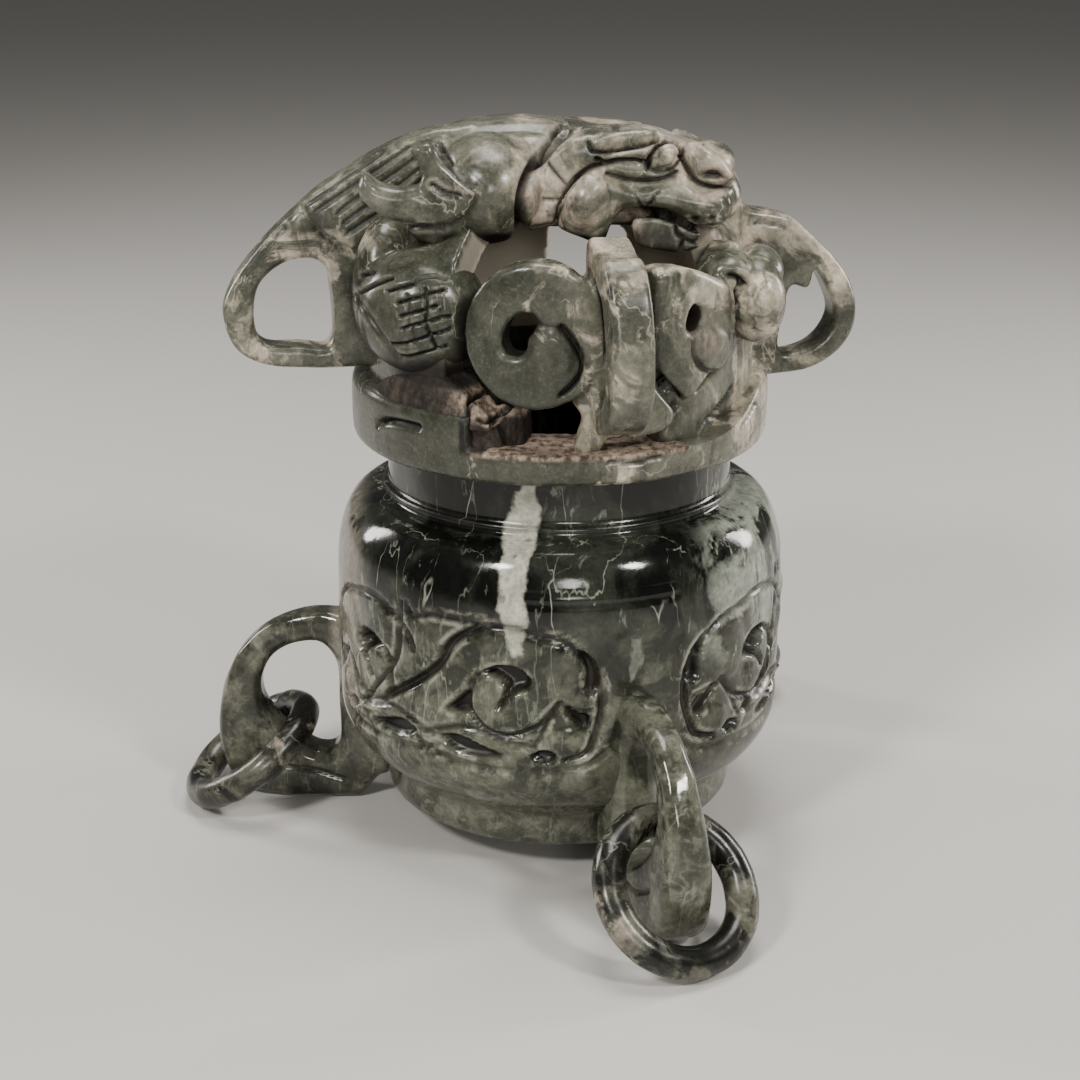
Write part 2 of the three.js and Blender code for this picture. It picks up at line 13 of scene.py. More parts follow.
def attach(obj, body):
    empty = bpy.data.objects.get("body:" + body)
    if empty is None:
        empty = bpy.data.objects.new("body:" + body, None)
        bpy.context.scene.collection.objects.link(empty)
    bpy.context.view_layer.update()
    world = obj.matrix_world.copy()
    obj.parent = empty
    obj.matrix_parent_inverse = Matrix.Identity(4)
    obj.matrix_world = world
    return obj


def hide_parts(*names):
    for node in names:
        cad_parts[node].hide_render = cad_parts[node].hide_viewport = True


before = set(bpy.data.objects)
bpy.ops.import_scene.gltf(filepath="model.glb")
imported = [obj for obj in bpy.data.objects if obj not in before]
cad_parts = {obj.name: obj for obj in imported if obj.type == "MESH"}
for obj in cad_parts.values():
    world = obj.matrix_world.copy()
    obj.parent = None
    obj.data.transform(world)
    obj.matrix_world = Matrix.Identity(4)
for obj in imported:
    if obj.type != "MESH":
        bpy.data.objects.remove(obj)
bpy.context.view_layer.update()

MM = 0.001
REST = -8.0                     # height of the table under the foot
EYE = np.array([-5.1, -493.8, 243.1])
PITCH = math.radians(19.52)
LENS = 64.33
FRAME_WIDTH = 36.0
TURN = 2 * math.pi

BELLY = 60.0
WALL = 52.0                     # radius at which the lid's wall drawings are measured
SHELL = 50.0                    # the same for the curls on the back wall
FRONT = 270.0                   # azimuth that faces the viewer
LEGS = {"left": 178.0, "front": 289.0, "rear": 56.0}        # azimuths
PANELS = ((236.0, 1.0), (352.5, 1.17), (117.0, 1.12))       # azimuths and sideways stretch
LID_TURN = 11.0                 # the crest and its side loops turned against the bowl
FRONT_LOOP_TURN = 283.5
REAR_LOOP_TURN = 101.0
RING_RADIUS = 18.0
BAR_RADIUS = 4.2


def placed(data, name="part"):
    """A new object in the scene."""
    thing = bpy.data.objects.new(name, data)
    bpy.context.scene.collection.objects.link(thing)
    return thing


def add_camera():
    data = bpy.data.cameras.new("studio_camera")
    data.lens = LENS
    data.sensor_width = FRAME_WIDTH
    data.clip_start = 0.01
    camera = placed(data, "studio_camera")
    camera.location = EYE * MM
    camera.rotation_euler = (TURN / 4 - PITCH, 0, 0)
    bpy.context.scene.camera = camera


add_camera()


def reach_of(p):
    """How far each spot lies from the upright axis."""
    return np.hypot(p[:, 0], p[:, 1])


def azimuth_of(p):
    return np.degrees(np.arctan2(p[:, 1], p[:, 0])) % 360


# Lines and outlines
def pairs(points):
    """Points written one after another, as sideways and height, in two columns."""
    return np.array(points, float).reshape(-1, 2)


def smooth_line(points, steps=5, closed=False):
    """A rounded line through the points."""
    p = pairs(points)
    n = len(p)
    if n < 3:
        return p
    spans = n if closed else n - 1
    out = []
    for i in range(spans):
        if closed:
            a, b, c, d = p[i - 1], p[i], p[(i + 1) % n], p[(i + 2) % n]
        else:
            a, b, c, d = p[max(i - 1, 0)], p[i], p[i + 1], p[min(i + 2, n - 1)]
        for k in range(steps):
            t = k / steps
            out.append(0.5 * (2 * b + (c - a) * t + (2 * a - 5 * b + 4 * c - d) * t ** 2
                              + (3 * b - a - 3 * c + d) * t ** 3))
    if not closed:
        out.append(p[-1])
    return np.array(out)


def line_distance(spots, line, reach):
    """How far each spot lies from the line, where that is within reach."""
    away = np.full(len(spots), np.inf)
    near = np.all((spots >= line.min(0) - reach) & (spots <= line.max(0) + reach), axis=1)
    some = spots[near]
    best = np.full(len(some), np.inf)
    for a, b in zip(line[:-1], line[1:]):
        along = b - a
        t = np.clip((some - a) @ along / max(along @ along, 1e-9), 0, 1)
        best = np.minimum(best, np.linalg.norm(some - (a + t[:, None] * along), axis=1))
    away[near] = best
    return away


def inside_outline(spots, outline):
    x, y = spots[:, 0], spots[:, 1]
    within = np.zeros(len(spots), bool)
    for a, b in zip(outline, np.roll(outline, -1, axis=0)):
        if a[1] == b[1]:
            continue
        crossing = (a[1] > y) != (b[1] > y)
        within ^= crossing & (x < (b[0] - a[0]) * (y - a[1]) / (b[1] - a[1]) + a[0])
    return within


def soft(t):
    t = np.clip(t, 0, 1)
    return t * t * (3 - 2 * t)


class Carving:
    """Depths cut into the stone over drawn spots, with the painted shade in the cuts and the worn edges
    that go with them.
    """

    def __init__(self, spots):
        self.spots = spots
        self.across = 1         # how much drawn lengths are stretched sideways
        self.cut, self.swell, self.shade_fill, self.worn = np.zeros((4, len(spots)))

    def drawn(self, points):
        return pairs(points) * (self.across, 1)

    def groove(self, points, width, depth, shoulder=2.6, shade_fill=0.8):
        line = smooth_line(self.drawn(points))
        away = line_distance(self.spots, line, width + shoulder)
        blade = soft(1 - away / width) * depth
        slope = soft(1 - away / (width + shoulder)) * depth * 0.28
        self.cut = np.maximum(self.cut, blade + slope)
        # painted shade: the groove and its near edge are darkened as if in shadow
        self.shade_fill = np.maximum(self.shade_fill, soft(1.25 - away / width) * shade_fill)
        self.worn = np.maximum(self.worn, soft(1 - np.abs(away - width - 0.5) / 0.8))

    def grooves(self, *table):
        for row in table:
            self.groove(*row)

    def ridge(self, points, width, height):
        away = line_distance(self.spots, smooth_line(self.drawn(points)), width)
        self.swell += soft(1 - away / width) * height

    def boss(self, middle, radii, height):
        away = self.spots - self.drawn(middle)
        self.swell += np.sqrt(np.clip(1 - np.sum((away / radii) ** 2, axis=1), 0, 1)) * height

    def pad(self, outline, height, edge):
        """A raised field with a soft edge inside the outline."""
        line = smooth_line(outline, closed=True)
        away = line_distance(self.spots, np.vstack([line, line[:1]]), edge * 2)
        rise = soft(np.minimum(away, edge) / edge)
        self.swell += np.where(inside_outline(self.spots, line), rise, 0) * height

    def pit(self, points, depth, edge=0.9):
        line = smooth_line(self.drawn(points), closed=True)
        ring = np.vstack([line, line[:1]])
        away = line_distance(self.spots, ring, edge * 2 + 3)
        within = inside_outline(self.spots, line)
        signed = np.where(within, np.minimum(away, 99), -away)
        self.cut = np.maximum(self.cut, soft((signed + edge * 0.5) / (edge * 1.5)) * depth)
        # painted shade: the inside of the pit is darkened as if in shadow
        self.shade_fill = np.maximum(self.shade_fill, soft((signed + 0.2) / 0.8))
        self.worn = np.maximum(self.worn, soft(1 - np.abs(signed + 0.9) / 0.9))


# Meshes
def mesh_of(bm):
    """A mesh with what was built; the building space is freed."""
    mesh = bpy.data.meshes.new("part")
    bm.to_mesh(mesh)
    bm.free()
    return mesh


def evaluated(thing):
    """The object's mesh with its modifiers applied; the object is removed."""
    graph = bpy.context.evaluated_depsgraph_get()
    mesh = bpy.data.meshes.new_from_object(thing.evaluated_get(graph), depsgraph=graph)
    data = thing.data
    bpy.data.objects.remove(thing)
    if isinstance(data, bpy.types.Curve):
        bpy.data.curves.remove(data)
    else:
        bpy.data.meshes.remove(data)
    return mesh


def spots_of(mesh):
    flat = np.empty(len(mesh.vertices) * 3, np.float32)
    mesh.vertices.foreach_get("co", flat)
    return flat.reshape(-1, 3).astype(float)


def put_spots(mesh, spots):
    mesh.vertices.foreach_set("co", spots.astype(np.float32).ravel())
    mesh.update()


def normals_of(mesh):
    flat = np.empty(len(mesh.vertices) * 3, np.float32)
    mesh.vertex_normals.foreach_get("vector", flat)
    return flat.reshape(-1, 3).astype(float)


def slab(points, holes=(), thick=10.0, round_edge=2.0, steps=5, sharp=False):
    """A flat outline with holes as a rounded slab: drawn in X and Y, thick along Z."""
    data = bpy.data.curves.new("outline", "CURVE")
    data.dimensions = "2D"
    data.fill_mode = "BOTH"
    data.extrude = thick / 2 - round_edge
    data.bevel_depth = round_edge
    data.bevel_resolution = 3
    data.offset = -round_edge
    for drawn in (points, *holes):
        line = pairs(drawn) if sharp else smooth_line(drawn, steps, closed=True)
        spline = data.splines.new("POLY")
        spline.points.add(len(line) - 1)
        flat = np.column_stack([line, np.zeros(len(line)), np.ones(len(line))])
        spline.points.foreach_set("co", flat.ravel())
        spline.use_cyclic_u = True
    return evaluated(placed(data))


def remeshed(mesh, voxel, smooth):
    """One closed skin round everything in the mesh."""
    thing = placed(mesh)
    skin = thing.modifiers.new("skin", "REMESH")
    skin.mode = "VOXEL"
    skin.voxel_size = voxel
    if smooth:
        ease = thing.modifiers.new("ease", "SMOOTH")
        ease.iterations = smooth
    return evaluated(thing)


def joined(meshes):
    bm = bmesh.new()
    for mesh in meshes:
        bm.from_mesh(mesh)
        bpy.data.meshes.remove(mesh)
    return mesh_of(bm)


def upright(mesh, azimuth):
    """A slab drawn as reach and height stands in its upright plane through the axis."""
    a = math.radians(azimuth)
    x, y, z = spots_of(mesh).T
    across, along = x * math.cos(a) + z * math.sin(a), x * math.sin(a) - z * math.cos(a)
    put_spots(mesh, np.column_stack([across, along, y]))
    return mesh


def bent(mesh, radius):
    """A slab drawn along the wall and up it is bent round the axis; its middle lies at the radius."""
    x, y, z = spots_of(mesh).T
    a = math.radians(FRONT) + x / WALL
    put_spots(mesh, np.column_stack([(radius + z) * np.cos(a), (radius + z) * np.sin(a), y]))
    return mesh


def lump(middle, radii, turn=0):
    bm = bmesh.new()
    place = (Matrix.Translation(Vector(middle)) @ Matrix.Rotation(math.radians(turn), 4, "Z")
             @ Matrix.Diagonal((*radii, 1)))
    bmesh.ops.create_icosphere(bm, subdivisions=4, radius=1, matrix=place)
    return mesh_of(bm)


def spun(profile, steps, start=0.0, sweep=360.0, closed=False):
    """A profile drawn as radius and height, turned about the axis."""
    bm = bmesh.new()
    a = math.radians(start)
    verts = [bm.verts.new((r * math.cos(a), r * math.sin(a), z)) for r, z in profile]
    ends = list(zip(verts, verts[1:])) + ([(verts[-1], verts[0])] if closed else [])
    edges = [bm.edges.new(pair) for pair in ends]
    whole = sweep >= 360
    if closed and not whole:
        bm.faces.new(verts)
    bmesh.ops.spin(bm, geom=verts + edges + bm.faces[:], axis=(0, 0, 1), cent=(0, 0, 0),
                   angle=math.radians(sweep), steps=steps, use_merge=whole, use_duplicate=False)
    if closed and not whole:
        bmesh.ops.holes_fill(bm, edges=[e for e in bm.edges if e.is_boundary], sides=0)
    bmesh.ops.remove_doubles(bm, verts=bm.verts, dist=1e-4)
    bmesh.ops.recalc_face_normals(bm, faces=bm.faces)
    return mesh_of(bm)


def add_mask(mesh, name, values):
    layer = mesh.attributes.new(name, "FLOAT", "POINT")
    layer.data.foreach_set("value", np.clip(values, 0, 1).astype(np.float32))


def finish_piece(name, mesh, body, node, finish, slot_name, **masks):
    """A finished mesh in millimetres as a piece that moves with its body."""
    put_spots(mesh, spots_of(mesh) * MM)
    mesh.polygons.foreach_set("use_smooth", np.ones(len(mesh.polygons), bool))
    for label, values in masks.items():
        add_mask(mesh, label, values)
    mesh.materials.clear()
    mesh.materials.append(finish)
    piece = placed(mesh, name)
    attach(piece, body)
    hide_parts(node)


def waviness(p, scale, seed=0.0):
    """Gentle hand-cut unevenness, between -1 and 1."""
    x, y, z = (p / scale).T
    return (np.sin(x * 1.9 + z * 1.3 + seed) * np.sin(y * 1.7 - z * 0.8 + seed * 2)
            + 0.5 * np.sin(x * 3.7 - y * 2.9 + seed * 3) * np.sin(z * 3.3 + seed)) / 1.5


def seen_from_front(p, plane=-28.0):
    """Where each spot appears on an upright plane when it is seen from the front."""
    ray = p - EYE
    t = (plane - EYE[1]) / ray[:, 1]
    return (EYE + ray * t[:, None])[:, [0, 2]]


# Bowl
def bezier(a, b, c, d, steps):
    t = np.linspace(0, 1, steps + 1)[:, None]
    a, b, c, d = (np.array(v, float) for v in (a, b, c, d))
    return a * (1 - t) ** 3 + 3 * b * t * (1 - t) ** 2 + 3 * c * t * t * (1 - t) + d * t ** 3


def straight(a, b, step):
    return np.linspace(a, b, max(1, round(math.dist(a, b) / step)) + 1)


def bowl_profile():
    outer = [
        straight((1, 0), (44, 0), 8), bezier((44, 0), (46.8, 0), (47.7, 0.8), (47.7, 3), 4),
        straight((47.7, 3), (47.9, 9), 1.5), bezier((47.9, 9), (50, 13), (60, 17.5), (60, 28), 18),
        straight((60, 28), (60, 62), 0.72), bezier((60, 62), (59.8, 74), (57.5, 84.5), (48.5, 85.2), 34),
        bezier((48.5, 85.2), (46.9, 85.3), (46.9, 85.6), (46.9, 86.6), 3),
        straight((46.9, 86.6), (46.9, 87.4), 0.8), straight((46.9, 87.4), (45.6, 87.9), 0.7),
        straight((45.6, 87.9), (45.3, 98.8), 1.4),
        bezier((45.3, 98.8), (45.3, 99.7), (45, 99.7), (44, 99.7), 3),
    ]
    inner = [
        straight((44, 99.7), (39, 99.7), 3), straight((38, 98.7), (38, 85), 4),
        bezier((38, 85), (49, 79), (50, 72), (50, 62), 5), straight((50, 62), (50, 31), 8),
        bezier((50, 31), (50, 18), (46, 13), (36, 13), 4), straight((36, 13), (1, 13), 12),
    ]
    points = np.vstack(outer + inner)
    keep = np.r_[True, np.linalg.norm(np.diff(points, axis=0), axis=1) > 1e-3]
    return points[keep]


def half_panel(carving, side, scale):
    """The scroll at one side of a panel; lengths run from the panel's middle."""
    carving.across = side * scale
    carving.grooves(
        ((3.6, 56.1, 8.7, 61.7, 16.3, 65.4, 23.4, 65.9, 28.8, 64.6, 35.7, 62.9, 40.3, 59.5), 1.1, 1.1),
        ((40.3, 59.5, 44.9, 52.6, 45.7, 44.2, 44.3, 38.4, 42.4, 33.3, 37.3, 30.9), 1.3, 1.6),
        ((14.4, 52.4, 12.6, 49.5, 12, 45.9, 12.9, 42, 16.8, 38.1, 22.9, 37.1, 29.6, 39.6, 33, 43.5, 35.4,
         46.4), 1.1, 1.7),
        ((-2.2, 34.4, 4.6, 36.6, 10, 38.2, 15, 37.6, 22, 35.6, 28.4, 34.6), 0.8, 0.7),
        ((35.1, 46.1, 31.9, 40.3, 28.6, 33.6), 0.7, 0.8),
        ((35.1, 46.1, 38.8, 45, 43.5, 43.9), 0.7, 0.8),
        ((-4, 32, 4.5, 29.2, 20, 27.6, 31.9, 28.2, 41.2, 29.4, 47, 33), 1, 0.8, 3, 0.35))
    carving.pit((40.6, 60.2, 43.9, 57.2, 45.3, 52.6, 44.6, 48.6, 42.2, 49, 41.6, 54.5), 3.4)
    carving.pit((14, 52.2, 19, 55.4, 24.4, 55.4, 28, 52.4, 27.3, 50, 22.9, 48.2, 20.5, 44.4, 19.6, 45, 22,
                 49.4, 20.8, 51.4, 17.4, 53), 4)
    carving.pit((36.4, 45.2, 39.6, 43.9, 43.2, 42.5, 42.5, 38.2, 39.4, 40.6), 3.2)
    carving.pit((3.6, 34.2, 9.1, 35.2, 15.9, 33.2, 21.2, 31.2, 13.4, 29.9, 6.8, 31.2), 2.6)
    carving.pit((27.9, 32.1, 31.9, 33.6, 34.9, 31.8, 31.9, 30), 2.4)
    carving.ridge((0, 34.6, 4.6, 36, 10, 37, 21.7, 34, 28.4, 33.2), 1.8, 0.7)
    carving.boss((37.4, 35.6), (5.2, 4.4), 0.9)
    carving.boss((20.6, 44.4), (8, 7.4), 0.9)
    carving.boss((33.8, 54), (7, 9), 0.8)


def middle_leaf(carving, scale):
    carving.across = scale
    carving.grooves(
        ((14.2, 64.6, 7.8, 60.2, 3.6, 53.5, -2.9, 47.7, -14, 40.3), 1.5, 2.2, 3.4),
        ((-9, 66.5, -9.4, 59.5, -10.4, 52.5, -14.4, 46.1, -20.3, 39.7, -26.4, 34.9), 1.2, 1.7, 3.2),
        ((-6.5, 66.6, -4.5, 64.6, 1.5, 66.3, 8.8, 66.6, 16.3, 66.4), 0.9, 1.2))
    carving.pit((5.2, 41.4, 8.9, 45.6, 12, 47.9, 12.6, 45.9, 12.9, 42.4, 9.2, 41.4), 3.4)
    carving.ridge((-1, 60, -5, 53, -11, 46.5, -17, 41), 3, 0.7)


def make_bowl(finish):
    mesh = spun(bowl_profile(), 540)
    p = spots_of(mesh)
    radius = reach_of(p)
    azimuth = azimuth_of(p)
    outside = (radius > 52) & (p[:, 2] > 12)
    cut, shade_fill, worn = np.zeros((3, len(p)))
    for middle, scale in PANELS:
        turn = (azimuth - middle + 180) % 360 - 180
        spots = np.column_stack([np.radians(turn) * BELLY, p[:, 2]])
        here = outside & (np.abs(spots[:, 0]) < 56 * scale) & (p[:, 2] > 24) & (p[:, 2] < 72)
        carving = Carving(spots[here])
        half_panel(carving, 1, scale)
        half_panel(carving, -1, scale)
        middle_leaf(carving, scale)
        cut[here] += carving.cut - carving.swell
        shade_fill[here] = np.maximum(shade_fill[here], carving.shade_fill)
        worn[here] = np.maximum(worn[here], carving.worn)
    cut += np.where(outside, -0.25 * waviness(p, 14), 0)
    rings = np.maximum(soft(1 - np.abs(p[:, 2] - 74.6) / 0.7) * 0.25,
                       soft(1 - np.abs(p[:, 2] - 72.2) / 0.8) * 0.3)
    cut += np.where(outside & (azimuth > 255) & (azimuth < 300), rings, 0)
    at_neck = (radius > 44.5) & (radius < 51.5)
    # painted shade along the crease where the neck meets the shoulder
    shade_fill = np.maximum(shade_fill, soft(1 - np.abs(p[:, 2] - 87.2) / 1.4) * 0.55 * at_neck)
    p[:, :2] *= np.divide(radius - cut, radius, out=np.ones_like(radius), where=radius > 1)[:, None]
    put_spots(mesh, p)
    # painted shade: the inside of the bowl is darkened by half
    shade_fill[(radius < 44) & (p[:, 2] > 12.5)] = 0.5
    # painted shade in the panels' cuts, the neck crease and the inside of the bowl goes on as a mask
    finish_piece("censer_bowl", mesh, "censer", "censer_body", finish, "jade_dark", residue=shade_fill,
                 worn=worn)


# Leg loops and rings
LOOP = (47, 0, 46, 8, 49, 14, 56, 22, 57, 34, 58, 45, 62, 47.2, 70, 47, 79.5, 43.6, 87, 37, 92.3, 28.5,
        94.6, 19, 95.1, 11, 94.3, 3.5, 91.4, -3, 86, -6.3, 78, -8, 69, -8, 58, -8, 54.5, -6.5, 50.5, -2)
LOOP_HOLE = (61.2, 31.5, 61.2, 20, 61.2, 10, 64, 6.4, 69, 6.6, 75.5, 11.4, 81.4, 18.4, 83, 24, 82.2, 29,
             78.5, 34.8, 71.5, 38.2, 65.5, 38)


def make_leg(side, finish):
    azimuth = LEGS[side]
    mesh = remeshed(slab(LOOP, [LOOP_HOLE], 12, 3.6, steps=4), voxel=0.62, smooth=4)
    p = spots_of(mesh)
    reach, height = p[:, 0].copy(), p[:, 1].copy()
    wide = 0.74 + 0.42 * soft((44 - height) / 44) + 0.30 * soft((66 - reach) / 9) * soft((height - 26) / 14)
    p[:, 2] *= wide
    carving = Carving(p[:, :2])
    carving.grooves(
        ((60, -1.5, 68, 1.2, 76, 2.2, 84, 6.8), 0.9, 0.9, 1.6),
        ((64, 41.6, 73, 41.8, 81, 37.6, 87, 31), 0.7, 0.35, 1.2, 0.3))
    side_face = np.clip(np.abs(p[:, 2]) / 3.0, 0, 1)
    p[:, 2] -= np.sign(p[:, 2]) * carving.cut * side_face
    p += normals_of(mesh) * (0.22 * waviness(p, 7, azimuth))[:, None]
    p[:, 1] = np.maximum(p[:, 1], REST + 0.02)
    put_spots(mesh, p)
    upright(mesh, azimuth)
    # painted shade in the grooves on the loop's sides
    finish_piece(f"leg_loop_{side}", mesh, "censer", "censer_body", finish, "jade_dark",
                 residue=carving.shade_fill * side_face)


def make_ring(side, finish):
    """A ring of round bar at the place of its solid."""
    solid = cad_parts[f"ring_{side}"]
    spots = np.array([solid.matrix_world @ v.co for v in solid.data.vertices]) / MM
    middle = (spots.max(0) + spots.min(0)) / 2
    axis = np.linalg.svd(spots - spots.mean(0), full_matrices=False)[2][2]
    bm = bmesh.new()
    bar = Matrix.Translation((RING_RADIUS, 0, 0)) @ Matrix.Rotation(TURN / 4, 4, "X")
    bmesh.ops.create_circle(bm, segments=28, radius=BAR_RADIUS, matrix=bar)
    bmesh.ops.spin(bm, geom=bm.verts[:] + bm.edges[:], axis=(0, 0, 1), cent=(0, 0, 0),
                   angle=TURN, steps=120, use_merge=True, use_duplicate=False)
    bmesh.ops.remove_doubles(bm, verts=bm.verts, dist=1e-4)
    bmesh.ops.recalc_face_normals(bm, faces=bm.faces)
    turn = Vector((0, 0, 1)).rotation_difference(Vector(axis)).to_matrix().to_4x4()
    bmesh.ops.transform(bm, matrix=turn, verts=bm.verts)
    mesh = mesh_of(bm)
    p = spots_of(mesh)
    p += normals_of(mesh) * (0.22 * waviness(p, 5, len(side)) - 0.1)[:, None]
    put_spots(mesh, p + middle)
    finish_piece(f"loose_ring_{side}", mesh, side + "_ring", f"ring_{side}", finish, "jade_grey")


# Lid
def finish_lid_piece(name, mesh, finish, **masks):
    finish_piece(name, mesh, "lid", "dragon_lid", finish, "jade_pale", **masks)


def facing(mesh, depth):
    """A slab drawn as seen from the front stands at that depth."""
    x, y, z = spots_of(mesh).T
    put_spots(mesh, np.column_stack([x, depth - z, y]))
    return mesh


def wall_spots(p, wall=WALL):
    """Each spot as length along the wall from the front, and height."""
    return np.column_stack([np.radians(azimuth_of(p) - FRONT) * wall, p[:, 2]])


def make_lid_ring(finish):
    low = [(33.6, 95.1), (34.4, 94.6), (36.8, 94.6), (37.4, 95.2), (37.4, 100), (52.0, 100), (53.8, 101.0),
           (54.4, 103), (54.5, 107.6), (54.2, 108), (33.6, 108)]
    tall = [(41, 105), (54.5, 105), (54.6, 112), (54.4, 115.5), (53.4, 117.6), (52, 118.2), (41, 118.2)]
    parts = [spun(low, 180, closed=True), spun(tall, 160, start=304, sweep=301.5, closed=True)]
    mesh = remeshed(joined(parts), voxel=0.85, smooth=2)
    p = spots_of(mesh)
    radius = reach_of(p)
    azimuth = azimuth_of(p)
    slope = np.where((azimuth > 250) & (azimuth < 352), 108.2 + 10.2 * soft((azimuth - 312) / 38),
                     np.where(azimuth > 200, 118.2 - 1.9 * soft((azimuth - 207) / 14), 119.0))
    p[:, 2] = np.where(radius > 40, np.minimum(p[:, 2], slope), p[:, 2])
    carving = Carving(wall_spots(p))
    carving.grooves(
        ((-51.4, 109.5, -46, 111.6, -35.8, 112), 1, 2.4, 0.6, 1),
        ((11, 106.6, 17.5, 106, 24, 106.8), 0.7, 1.3),
        ((59.5, 112.9, 51.1, 108.6), 0.7, 0.9))
    outer = soft((radius - 48) / 3)
    ledge = soft((p[:, 2] - 106.9) / 0.6) * (azimuth > 245.8) * (azimuth < 305) * (radius > 34)
    # painted shade on the step face at the end of the ledge
    step = (np.abs(azimuth - 246.5) < 3.2) * soft((p[:, 2] - 106.5) / 1.5)
    rough = np.maximum(ledge, step)
    x, y, z = p.T
    grit = np.sin(x * 2.1 + y * 3.3) * np.sin(y * 2.7 - z * 1.9) + 0.5 * np.sin(x * 5.3)
    p -= normals_of(mesh) * (carving.cut * outer + 0.15 * waviness(p, 12) - 0.14 * grit * rough)[:, None]
    p[:, 2] = np.maximum(p[:, 2], np.where(radius > 37.6, 100.0, 94.6))
    put_spots(mesh, p)
    # painted shade in the rim's grooves and on the step face; the ledge's brown is the stone's own
    finish_lid_piece("lid_rim", mesh, finish, residue=np.maximum(carving.shade_fill * outer, step * 0.9),
                     earth=ledge)


REAR_WINDOW = (62, 94, 120, 147)        # azimuths of its sides, then heights of its sill and lintel


def make_lid_shell(finish):
    outside = np.vstack([straight((50.5, 105), (50.5, 130), 5),
                         bezier((50.5, 130), (50.5, 150), (40, 163), (22, 168), 20)])
    inside = np.vstack([straight((20, 157), (30, 154.5), 6),
                        bezier((30, 154.5), (38, 150), (41.5, 140), (41.5, 128), 14),
                        straight((41.5, 126), (41.5, 105), 5)])
    left, right, sill, lintel = REAR_WINDOW
    whole = [tuple(v) for v in np.vstack([outside, inside])]
    above = [v for v in whole if v[1] > lintel]
    below = [(50.5, 105), (50.5, sill), (41.5, sill), (41.5, 105)]
    parts = [
        spun(whole, 60, start=334, sweep=26 + left, closed=True),
        spun(whole, 90, start=right, sweep=236 - right, closed=True),
        spun(above, 30, start=left - 1, sweep=right - left + 2, closed=True),
        spun(below, 30, start=left - 1, sweep=right - left + 2, closed=True),
    ]
    mesh = remeshed(joined(parts), voxel=0.95, smooth=4)
    p = spots_of(mesh)
    outer = soft((reach_of(p) - 44.0) / 2) * (p[:, 2] > 118)
    turned = wall_spots(p, SHELL)
    cut, shade_fill = np.zeros((2, len(p)))
    for middle, mirror in ((26, -1), (58, 1), (92, -1), (127, 1), (160, -1)):
        place = np.column_stack([mirror * (turned[:, 0] - math.radians(middle - FRONT) * SHELL),
                                 turned[:, 1]])
        place[:, 0] = (place[:, 0] + SHELL * math.pi) % (SHELL * TURN) - SHELL * math.pi
        carving = Carving(place)
        carving.grooves(
            ((-11, 123, -13, 133, -8, 143, 2, 146, 10, 141, 11, 132, 5, 126, -3, 127, -5, 133, 0, 137),
             1.1, 1.5),
            ((11, 141, 14, 150, 9, 157), 1, 1.2))
        carving.pit((-3.5, 131, -2, 128.6, 2.6, 129.6, 4, 133, 0.5, 135), 2.4)
        carving.boss((0, 135), (11, 10), 1)
        cut += carving.cut - carving.swell
        shade_fill = np.maximum(shade_fill, carving.shade_fill)
    p -= normals_of(mesh) * (cut * outer + 0.3 * waviness(p, 15))[:, None]
    put_spots(mesh, p)
    azimuth = azimuth_of(p)
    # painted shadow on the wall below the coiled body
    shadow_under_body = soft((azimuth - 213) / 8) * (azimuth < 242) * soft((130 - p[:, 2]) / 4)
    # painted light: the lid's inside faces are found here, to be painted pale cream as if lit
    outwards = p - np.array([0, 0, 122.0])
    outwards[:, 2] = np.maximum(outwards[:, 2], 0)
    outwards /= np.linalg.norm(outwards, axis=1)[:, None]
    inner = soft(0.5 - 2 * np.sum(normals_of(mesh) * outwards, axis=1))
    finish_lid_piece("lid_wall", mesh, finish, residue=np.maximum(np.where(outer > 0.3, shade_fill, 0), shadow_under_body),
                     pale_side=inner)


CREST = (-30, 155.8, -34, 163, -33.6, 172, -31, 177.2, -27, 179, -22, 180.5, -15, 181.1, -9, 181.2, 0,
         180.6, 12.5, 180.2, 18.8, 178.9, 25, 177.7, 31, 175.2, 35, 173.5, 40.4, 171.6, 43.5, 168.8, 45,
         165, 44.5, 160.5, 41, 157.4, 32, 155.8, 8, 156.2, -18, 156)
NECK = (-29, 156.2, -32, 162, -30, 169.5, -24, 174, -14, 175.6, -2, 175.4, 6, 173, 9, 166, 8, 158, -8,
        156.4)
HEAD = (-9, 156.4, -9.4, 163, -8, 170, -5, 175.2, -1, 178.6, 5, 180, 14, 180.6, 22, 180.2, 28, 178.4, 33,
        176.6, 38.2, 174.8, 41.6, 171.5, 42.2, 167, 41.5, 162, 38.5, 158.2, 33, 157.9, 28, 160.4, 22, 161.6,
        16, 161.2, 12.7, 158, 10.4, 154.2, 4, 155.4, -2, 157.2)
CHIN = (17.4, 159, 21, 160.8, 27, 160.2, 31.4, 158.6, 34.6, 156.6, 33.4, 154.8, 33.8, 152.9, 29.6, 151.4,
        24, 151.9, 19, 153.4)
UNDER = 155.8                   # height of the crest's underside
BACK_HEAD_SHARE = 0.8           # height of the back half of the head against the front half
FIN_LEFT = (-46, 150, -20, 152, -20, 178, -28, 179.8, -35.6, 178.6, -48.3, 173.4, -58.4, 167.5, -66.1,
            161.6, -75.9, 152.7, -83, 144, -86.7, 135, -84, 126, -76.7, 121.3, -67, 120.3, -52, 120, -46,
            121)
FIN_LEFT_HOLE = (-59.8, 126.5, -68, 126.3, -76.5, 127.2, -79, 133, -77.2, 142, -70, 147.6, -62, 147.4,
                 -59.6, 141)
